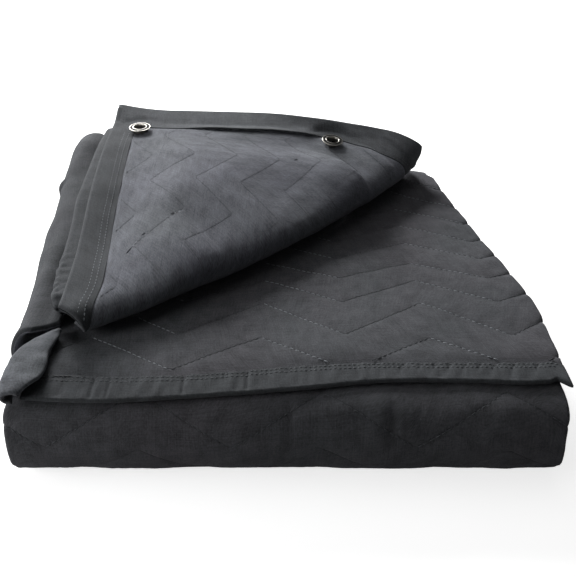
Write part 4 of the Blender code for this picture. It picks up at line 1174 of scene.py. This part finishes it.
def ply_points(rows=130):
    """The ply from its edge under the turned corner, over the stack and down its left side."""
    share = edge_steps(1.0, 1.0 / rows, 0.008)[:, None]
    wall_y = blend(PLY_FRONT[0][1], PLY_BACK, share)
    wall = read(DRAPE_EDGES, 1, wall_y) + CLOTH / 2
    shoulder = wall + DRAPE_RADIUS
    # the fold line starts behind the ply's first rows, so they end where the line starts
    inner = fold_limit(np.where(share > 0.04, wall_y, PLY_FOLD_STARTS))
    across = np.linspace(0, 1, 60)
    across = blend(across, across**0.5, 0.25)
    x = blend(inner, shoulder, across)
    y = blend(read(PLY_FRONT, 1, x), PLY_BACK, share)
    lying = as_points(x, y, under_z(x, y))
    y = blend(read(PLY_FRONT, 1, shoulder), PLY_BACK, share)
    top = under_z(shoulder, y)
    turn = np.linspace(0, math.pi / 2, 14)[1:]
    bent = as_points(shoulder - DRAPE_RADIUS * np.sin(turn), y, top - DRAPE_RADIUS * (1 - np.cos(turn)))
    down = np.concatenate([np.linspace(0, 0.94, 18)[1:], [0.965, 0.985, 1.0]])
    hung = as_points(wall, y, blend(top - DRAPE_RADIUS, DRAPE_END_Z, down))
    return np.concatenate([lying, bent, hung], axis=1)


def ply_folds(points):
    """The ply with its hump at the back, its hollow beside the turned corner and its uneven side."""
    x, y, z = points[..., 0], points[..., 1], points[..., 2]
    hump = HUMP * smooth(0.38, 0.50, y) * (1 - smooth(-0.305, -0.285, x))
    near_front = 1 - smooth(0.20, 0.30, y)
    hollow = HOLLOW * smooth(-0.290, -0.270, x) * near_front - SHOULDER * bell(x, -0.297, 0.010) * near_front
    droop = DROOP * smooth(-0.275, -0.315, x) * (1 - smooth(0.10, 0.19, y))
    rolls = 0.0016 * bumps(y, z + x, 0.11, 41) + 0.0008 * bumps(y, z, 0.035, 42)
    out = rolls + NOTCH * bell(y, 0.405, 0.0045) * smooth(-0.322, -0.334, x)
    hanging = smooth(-0.300, -0.330, x)
    side = hanging * (0.005 * bell(y, 0.24, 0.07) - 0.003 * bell(y, 0.09, 0.03) - 0.006 * bell(y, 0.46, 0.05))
    moved = points + normals_of(points) * out[..., None]
    moved[..., 0] -= side
    moved[..., 2] += hump - hollow - droop
    return moved


points = ply_folds(ply_points()[:, ::-1])
ply = cloth("draped_ply_cloth", points, CLOTH / 2, ply_shaded_cloth, light_cloth, rounding=CLOTH / 2)
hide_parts("draped_ply")

# %% The rounded ridge of its folded edge
HAIRPIN_REACH, HAIRPIN_RADIUS, HAIRPIN, RIDGE_GAP = 0.030, 0.0058, 0.0042, 0.0024
RIDGE_FRONT, RIDGE_FULL, RIDGE_BACK = 0.116, 0.132, 0.530


def ridge_points(rows=200, turn=14):
    """The folded edge: forward low down, round a tight bend and back above, with its crumples."""
    y = np.linspace(RIDGE_FRONT, RIDGE_BACK, rows)[:, None]
    radius = blend(HAIRPIN / 2 + 0.0004, HAIRPIN_RADIUS, smooth(RIDGE_FRONT, RIDGE_FULL, y))
    left = side_edge(1, y) + radius + HAIRPIN / 2
    left = left + 0.0012 * bumps(y, 0, 0.016, 51) * smooth(0.26, 0.18, y)
    middle = under_z(left, y) + CLOTH / 2 + HAIRPIN / 2 + radius + RIDGE_GAP
    angle = math.pi * (np.linspace(0, 1, turn + 1) - 0.5)
    flat = np.linspace(1, 0, 6)[:-1]
    low = as_points(left + HAIRPIN_REACH * flat, y, middle - radius)
    bend = as_points(left - radius * np.cos(angle), y, middle + radius * np.sin(angle))
    high = as_points(left + HAIRPIN_REACH * flat[::-1], y, middle + radius)
    points = np.concatenate([low, bend, high], axis=1)
    crumpled = 0.0013 * bumps(points[..., 0], y, 0.012, 52) * smooth(0.25, 0.16, y)
    crumpled = crumpled + 0.0006 * bumps(points[..., 0], y, 0.050, 53)
    return points + normals_of(points) * crumpled[..., None]


points = ridge_points()
ridge = cloth("under_fold_cloth", points, HAIRPIN / 2, shaded_tape)
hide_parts("under_fold")

# %% The curled corner
TAB_FRONT, TAB_LENGTH, TAB_HALF = -0.006, 0.103, 0.0027


def tab_points(turn=16):
    """The panel's corner, curled up and over so that its reverse shows."""
    y = edge_steps(TAB_LENGTH, 0.0016, 0.003)[:, None] + TAB_FRONT
    outer, inner, rise = (read(CORNER_TAB, column, y) for column in (1, 2, 3))
    radius = rise / 2
    angle = math.pi * (np.linspace(0, 1, turn + 1) - 0.5)
    low = as_points(outer + radius + np.array([0.003, 0.0015]), y, TOP_Z)
    bend = as_points(outer + radius - radius * np.cos(angle), y, TOP_Z + radius + radius * np.sin(angle))
    share = np.linspace(0, 1, 21)[1:]
    over_z = TOP_Z + rise + 0.001 * np.sin(math.pi * share) - 0.0015 * share**2
    over = as_points(blend(outer + radius, inner, share), y, over_z)
    points = np.concatenate([low, bend, over], axis=1)
    crumpled = 0.0008 * bumps(points[..., 0], points[..., 1], 0.022, 61)
    return points - normals_of(points) * crumpled[..., None]


tab = cloth("corner_tab_cloth", tab_points(), TAB_HALF, slate_shaded_cloth, dark_cloth)
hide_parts("corner_tab")

# %% [markdown]
# ## Stitching
#
# A quilting machine sews the zigzags with a heavy thread, and a lockstitch machine sews the tapes down
# in straight rows. Each stitch shows as a short, slightly arched length of thread that dives into the
# cloth at both ends. One low shape with 22 faces is laid along every line, because there are over a
# thousand of them. Where a line of stitches runs towards the light its thread looks pale, and where it
# runs across it the thread looks dark, so the two directions have threads of their own.

# %% Lay stitches along lines on the cloth
# five rings of points along a stitch: their places, widths and heights
STITCH_SIDES = 5
STITCH_RINGS = np.array([0.0, 0.14, 0.5, 0.86, 1.0])
STITCH_WIDTH = np.array([0.35, 0.9, 1.0, 0.9, 0.35])
STITCH_ARCH = np.array([-0.6, 0.1, 0.6, 0.1, -0.6])


def stitch_spots(line, place, height, length, gap):
    """Starts, ends and upward directions of the stitches along one line of places on the cloth."""
    u, v = np.array(line, float).T
    count = int(1500 * np.hypot(np.diff(u), np.diff(v)).sum()) + 2
    share = np.linspace(0, 1, count)
    marks = np.linspace(0, 1, len(u))
    u, v = np.interp(share, marks, u), np.interp(share, marks, v)
    points = place(u, v)
    step = 0.001
    normal = np.cross(place(u + step, v) - place(u - step, v), place(u, v + step) - place(u, v - step))
    normal /= np.maximum(np.linalg.norm(normal, axis=1, keepdims=True), 1e-12)
    normal *= 1 if normal[:, 2].mean() > 0 else -1
    points = points + normal * height(u, v)[:, None]
    travelled = np.concatenate([[0], np.cumsum(np.linalg.norm(np.diff(points, axis=0), axis=1))])
    starts = np.arange(gap, travelled[-1] - length, length + gap)
    at = starts[:, None] + STITCH_RINGS * length
    spots = np.stack([np.interp(at, travelled, points[:, i]) for i in range(3)], -1)
    ups = np.stack([np.interp(at[:, 2], travelled, normal[:, i]) for i in range(3)], -1)
    return spots, ups / np.linalg.norm(ups, axis=1, keepdims=True)


def stitches(name, lines, place, height, material, radius=0.00055, length=0.0056, gap=0.0014):
    """All the stitches of one thread, as one piece."""
    found = [stitch_spots(line, place, height, length, gap) for line in lines]
    spots, ups = np.concatenate([f[0] for f in found]), np.concatenate([f[1] for f in found])
    ahead = spots[:, -1] - spots[:, 0]
    ahead /= np.linalg.norm(ahead, axis=1, keepdims=True)
    side = np.cross(ups, ahead)
    count, sides = len(STITCH_RINGS), STITCH_SIDES
    angle = np.arange(sides) * 2 * math.pi / sides
    ring = (side[:, None, None, :] * np.cos(angle)[None, None, :, None]
            + ups[:, None, None, :] * np.sin(angle)[None, None, :, None])
    middle = spots + ups[:, None, :] * (STITCH_ARCH * radius)[None, :, None]
    points = middle[:, :, None, :] + ring * (STITCH_WIDTH * radius)[None, :, None, None]
    around = [(a, (a + 1) % sides) for a in range(sides)]
    faces = [[s * sides + a, s * sides + b, (s + 1) * sides + b, (s + 1) * sides + a]
             for s in range(count - 1) for a, b in around]
    faces += [list(range(sides))[::-1], list(range((count - 1) * sides, count * sides))]
    every = [[count * sides * i + v for v in face] for i in range(len(spots)) for face in faces]
    piece = new_piece(name, points.reshape(-1, 3), every, (material,))
    print(name, len(spots), "stitches")


# %% Zigzags on the panel and the front
LINE_SHARES = np.linspace(0, 1, 40)
PANEL_ENDS, FRONT_ENDS = (-0.262, 0.288), (-0.285, 0.282)
FINE_THREAD = 0.0004


def top_place(x, at):
    """A point of the top panel or the front, at a distance along the strip."""
    return lifted(x, *path_at(at))


def on_strip(x, at):
    """The height of a stitch over the middle of the strip."""
    return CLOTH / 2 + uneven(x, at) * np.where(at < STOPS["floor"], *fades(x, path_at(at)[0], at))


def between(start, end, shares):
    """Places on the straight line from start to end."""
    return [(blend(start[0], end[0], share), blend(start[1], end[1], share)) for share in shares]


def zigzag_lines(table, start, phase, low_x, high_x, towards):
    """The straight parts of a table's zigzags that run one way: 1 from a peak to a valley, 0 back."""
    lines = []
    for _, peak, valley in table:
        for k in range(-3, 4):
            peak_x = phase + k * ZIGZAG
            ends = [(peak_x, start + peak), (peak_x + ZIGZAG / 2, start + valley)]
            if not towards:
                ends = [(peak_x - ZIGZAG / 2, start + valley), (peak_x, start + peak)]
            cuts = np.clip((np.array([low_x, high_x]) - ends[0][0]) / (ends[1][0] - ends[0][0]), 0, 1)
            if cuts[1] - cuts[0] > 0.05:
                lines.append(between(*ends, cuts))
    return lines


def clear_of_seam(lines):
    """The lines that start behind the front binding's seam and end in front of the turned corner."""
    kept = []
    for line in lines:
        places = [(x, at) for x, at in between(*line, LINE_SHARES)
                  if at > seam_y(x) + 0.001 and fold_place(x, at)[2] < 0.012
                  and read(TOP_EDGES, 1, at) + 0.004 < x < read(TOP_EDGES, 2, at) - 0.004]
        if len(places) > 3:
            kept.append(places)
    return kept


for label, towards, thread in (("pale", 1, thread_light), ("dark", 0, thread_dark)):
    lines = clear_of_seam(zigzag_lines(TOP_LINES, 0.0, TOP_PHASE, *PANEL_ENDS, towards))
    stitches(f"panel_stitches_{label}", lines, top_place, on_strip, thread)
    lines = zigzag_lines(FRONT_LINES[1:], STOPS["front"], FRONT_LINE_PHASE, *FRONT_ENDS, towards)
    stitches(f"front_stitches_{label}", lines, top_place, on_strip, thread_dark, radius=FINE_THREAD)

# %% Zigzags on the turned corner
def flap_lines(towards):
    """The straight parts of the turned corner's zigzags that run one way."""
    lines = []
    for number in range(-3, 9):
        for k in range(-2, 4):
            left_y = FLAP_LEFT_Y + k * FLAP_ZIGZAG
            left = (FLAP_RIGHT_X + number * FLAP_SPACING - FLAP_SWING, left_y)
            right = (left[0] + FLAP_SWING, left_y + (0.5 if towards else -0.5) * FLAP_ZIGZAG)
            places = [(x, y) for x, y in between(left, right, LINE_SHARES)
                      if x > read(SIDE_TAPE, 1, y) + 0.002 and fold_place(x, y)[2] > -0.010
                      and y < strip_back(x) - strip_width(x) - 0.003]
            if len(places) > 4:
                lines.append(places)
    return lines


def flap_place(x, y):
    """A point of the turned corner."""
    return turned(np.asarray(x, float), np.asarray(y, float))


def on_flap(x, y):
    """The height of a stitch over the middle of the turned corner."""
    return CLOTH / 2 + flap_uneven(x, y)


# painted highlight and shade: the corner's zigzags that run one way get the pale thread, the others the dark
# one
stitches("corner_stitches_pale", flap_lines(True), flap_place, on_flap, thread_flap, radius=FINE_THREAD)
stitches("corner_stitches_dark", flap_lines(False), flap_place, on_flap, thread_flap_painted_shade, radius=FINE_THREAD)


# %% The rows that hold the tapes down
def tape_height(radius, raised):
    """The height of a stitch over the middle of the cloth inside a tape."""
    return lambda u, v: radius + TAPE_THICK / 2 + raised(u, v)


def tape_rows(start, end, width_of, backs, steps=60):
    """Straight rows along a tape, at distances back from its inner edge."""
    places = np.linspace(start, end, steps)
    return [[(at, float(width_of(at) - back)) for at in places] for back in backs]


on_hem, on_side = tape_height(HEM_RADIUS, hem_raised), tape_height(SIDE_LOWEST, side_raised)
on_back_strip = tape_height(0.0031, strip_raised)
stitches("front_binding_stitches", tape_rows(-0.262, 0.288, hem_width, (0.0025, 0.0075)), hem_place, on_hem,
         thread_tape, radius=0.00045, length=0.0040, gap=0.0012)
# painted shadow: a dark thread, made like one long stitch, along the opening between the binding and the
# quilt
stitches("front_binding_slit_shadow", tape_rows(-0.2500, -0.2000, hem_width, (0.0008,), 20), hem_place, on_hem,
         thread_dark, radius=0.0006, length=0.047, gap=0.001)
stitches("side_binding_stitches", tape_rows(0.01, 0.84, side_width, (0.008, 0.015)), side_place, on_side,
         thread_light, radius=0.0005, length=0.0038, gap=0.0018)
stitches("grommet_strip_stitches", tape_rows(0.085, 0.20, strip_width, (0.0035, 0.0095)), strip_place,
         on_back_strip, thread_tape, radius=FINE_THREAD, length=0.0040, gap=0.0014)

# %% [markdown]
# ## Eyelets
#
# Each eyelet is one pressed metal ring: a flange on top that rolls over and down into a barrel. It
# starts as a circle, its edge is drawn out and up step by step along the rolled section, and the last
# edge is joined to the first. A modifier could spin the section too, but drawing out an edge by hand
# is the way to learn how a turned profile is built.

# %% Metal
def metal_material(name, light, dark, low, high):
    """Worn nickel: clear in places and dull in spots, with roughness from low to high."""
    made, tree, shader = new_material(name, {"Metallic": 1.0})
    place = add_node(tree, "ShaderNodeTexCoord").outputs["Object"]
    spots = noise(tree, place, 260.0, 5.0)
    tree.links.new(spread_out(tree, spots, 0.3, 0.7, low, high), shader["Roughness"])
    tree.links.new(mix_colours(tree, spots, light, dark), shader["Base Color"])
    scratches = {"Strength": 0.12, "Distance": 0.0001, "Height": noise(tree, place, 1500.0, 2.0)}
    tree.links.new(add_node(tree, "ShaderNodeBump", scratches).outputs[0], shader["Normal"])
    return made


nickel = metal_material("worn_nickel", (0.42, 0.40, 0.36), (0.30, 0.29, 0.27), 0.28, 0.46)
# painted shade: a dark, rough copy of the nickel for the barrel's inside and the flange's groove, in place of
# their shade and darker reflection
shaded_nickel = metal_material("nickel_painted_shade", (0.040, 0.038, 0.035), (0.022, 0.022, 0.022), 0.70, 0.90)

# %% Press an eyelet
RING_SCALE, RING_BARREL, RING_RIM_Z, RING_GROOVE = 0.955, 0.0100, 0.0040, (0.0110, 0.0148)
HOLE_RADIUS, CUTTER_DEPTH = 0.0109, 0.03
# radius, then height over the middle of the cloth, from the hole's lower edge up, over and under
RING_SECTION = [(0.0100, -0.0060), (0.0092, -0.0040), (0.0090, 0.0000), (0.0091, 0.0032), (0.0094, 0.0046),
                (0.0101, 0.0053), (0.0110, 0.0053), (0.0117, 0.0048), (0.0126, 0.0044), (0.0140, 0.0043),
                (0.0152, 0.0046), (0.0161, 0.0048), (0.0168, 0.0045), (0.0171, 0.0039), (0.0167, 0.0034),
                (0.0150, 0.0036), (0.0122, 0.0038), (0.0108, 0.0032), (0.0103, 0.0000), (0.0103, -0.0042),
                (0.0112, -0.0052), (0.0150, -0.0050), (0.0158, -0.0056), (0.0150, -0.0064), (0.0115, -0.0066)]


def press_ring(name, at_x, at_y):
    """One eyelet, drawn out ring by ring, and where it is placed."""
    z, slope_x, slope_y = eyelet_plane(np.array(at_x), np.array(at_y))
    bpy.ops.object.select_all(action="DESELECT")
    section = [(radius * RING_SCALE, height) for radius, height in RING_SECTION]
    first = section[0]
    bpy.ops.mesh.primitive_circle_add(vertices=64, radius=first[0], location=(0, 0, first[1]))
    ring = bpy.context.object
    ring.name = ring.data.name = name
    bpy.ops.object.mode_set(mode="EDIT")
    bpy.ops.mesh.select_all(action="SELECT")
    for before, after in zip(section, section[1:]):
        bpy.ops.mesh.extrude_edges_move(TRANSFORM_OT_translate={"value": (0, 0, after[1] - before[1])})
        grow = after[0] / before[0]
        bpy.ops.transform.resize(value=(grow, grow, 1), center_override=(0, 0, 0))
    bpy.ops.mesh.select_all(action="DESELECT")
    bpy.ops.mesh.select_non_manifold()
    bpy.ops.mesh.bridge_edge_loops()
    bpy.ops.mesh.select_all(action="SELECT")
    bpy.ops.mesh.normals_make_consistent(inside=False)
    bpy.ops.object.mode_set(mode="OBJECT")
    smoother = ring.modifiers.new("smoother", "SUBSURF")
    smoother.levels = smoother.render_levels = 1
    bpy.ops.object.modifier_apply(modifier=smoother.name)
    bpy.ops.object.shade_smooth()
    ring.data.materials.append(nickel)
    ring.data.materials.append(shaded_nickel)
    # painted shade: faces inside the barrel and in the flange's groove take the dark copy
    for face in ring.data.polygons:
        away = math.hypot(face.center.x, face.center.y)
        inside = away < RING_BARREL and face.center.z < RING_RIM_Z
        groove = RING_GROOVE[0] < away < RING_GROOVE[1] and face.center.z > 0
        face.material_index = 1 if inside or groove else 0
    normal = Vector((-slope_x, -slope_y, 1.0)).normalized()
    turn = normal.to_track_quat("Z", "Y").to_matrix().to_4x4()
    spot = Matrix.Translation(Vector((at_x - MIDDLE[0], at_y - MIDDLE[1], z)))
    ring.data.transform(spot @ turn)
    ring.matrix_world = Matrix.Identity(4)
    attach(ring, "root")
    print(name, len(ring.data.polygons), "faces")
    return ring, spot @ turn


# %% Cut the eyelets' holes
def punch(piece, where):
    """Cuts an eyelet's hole through a piece of cloth."""
    bpy.ops.object.select_all(action="DESELECT")
    bpy.ops.mesh.primitive_cylinder_add(vertices=48, radius=HOLE_RADIUS, depth=CUTTER_DEPTH)
    cutter = bpy.context.object
    cutter.data.transform(where)
    bpy.ops.object.select_all(action="DESELECT")
    bpy.context.view_layer.objects.active = piece
    piece.select_set(True)
    cut = piece.modifiers.new("hole", "BOOLEAN")
    cut.object = cutter
    cut.operation = "DIFFERENCE"
    bpy.ops.object.modifier_apply(modifier=cut.name)
    bpy.data.objects.remove(cutter, do_unlink=True)


for name, at in EYELETS.items():
    ring, where = press_ring(name.replace("grommet", "eyelet_ring"), *at)
    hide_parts(name)
    for piece in (corner, strip, band):
        punch(piece, where)
print("holes cut", [len(piece.data.polygons) for piece in (corner, strip, band)])

# %% [markdown]
# ## Camera, light and floor
#
# The photograph looks down on the stack from in front. Most of its light comes from behind on the left,
# so the turned corner is bright, its roll shades the panel, and the front fold is dark. One large soft
# light does that. A weak one above and a small one at the left keep the shaded cloth from going black.
# A picture of a studio could light it too, but three lamps are easier to move and to understand.

# %% Camera
camera = bpy.data.objects.new("camera", bpy.data.cameras.new("camera"))
bpy.context.scene.collection.objects.link(camera)
camera.location = (0.0230, -0.7376, 0.565)
camera.rotation_euler = (math.radians(55.13), 0, 0)
camera.data.lens = 40.625
camera.data.sensor_width = 36
bpy.context.scene.camera = camera
print("camera", tuple(camera.location), camera.data.lens)


# %% Floor
def floor_material():
    """A pale floor. The camera sees it bright, and it throws less light back up at the blanket, as a
    floor does that is lit by lamps of its own."""
    made, tree, shader = new_material("pale_floor", {"Roughness": 0.8, "Emission Color": (1, 1, 1, 1)})
    seen = add_node(tree, "ShaderNodeLightPath").outputs["Is Camera Ray"]
    tree.links.new(mix_colours(tree, seen, (0.48,) * 3, (0.92,) * 3), shader["Base Color"])
    tree.links.new(maths(tree, "MULTIPLY", seen, 0.75), shader["Emission Strength"])
    return made


bpy.ops.object.select_all(action="DESELECT")
bpy.ops.mesh.primitive_plane_add(size=24, location=(0, 0, -0.0002))
floor = bpy.context.object
floor.name = "floor"
floor.data.materials.append(floor_material())


# %% Light
def area_light(name, place, aim, size, power):
    """A soft square light at a place, turned towards another."""
    data = bpy.data.lights.new(name, "AREA")
    data.shape = "SQUARE"
    data.size = size
    data.energy = power
    lamp = bpy.data.objects.new(name, data)
    bpy.context.scene.collection.objects.link(lamp)
    lamp.location = place
    lamp.rotation_euler = (Vector(aim) - Vector(place)).to_track_quat("-Z", "Y").to_euler()
    return lamp


# name, place, where it points, size, power
area_light("key", (-0.97, 2.05, 1.38), (0, 0, 0.1), 1.1, 103)
area_light("top", (-0.2, 0.6, 2.4), (0, 0, 0.1), 1.8, 8)
area_light("left_fill", (-1.1, -0.5, 0.40), (-0.1, -0.2, 0.08), 0.5, 6)
world = bpy.context.scene.world or bpy.data.worlds.new("world")
bpy.context.scene.world = world
world.use_nodes = True
sky = world.node_tree.nodes["Background"].inputs
sky["Color"].default_value, sky["Strength"].default_value = (1, 1, 1, 1), 0.05
bpy.context.scene.view_settings.view_transform = "Standard"
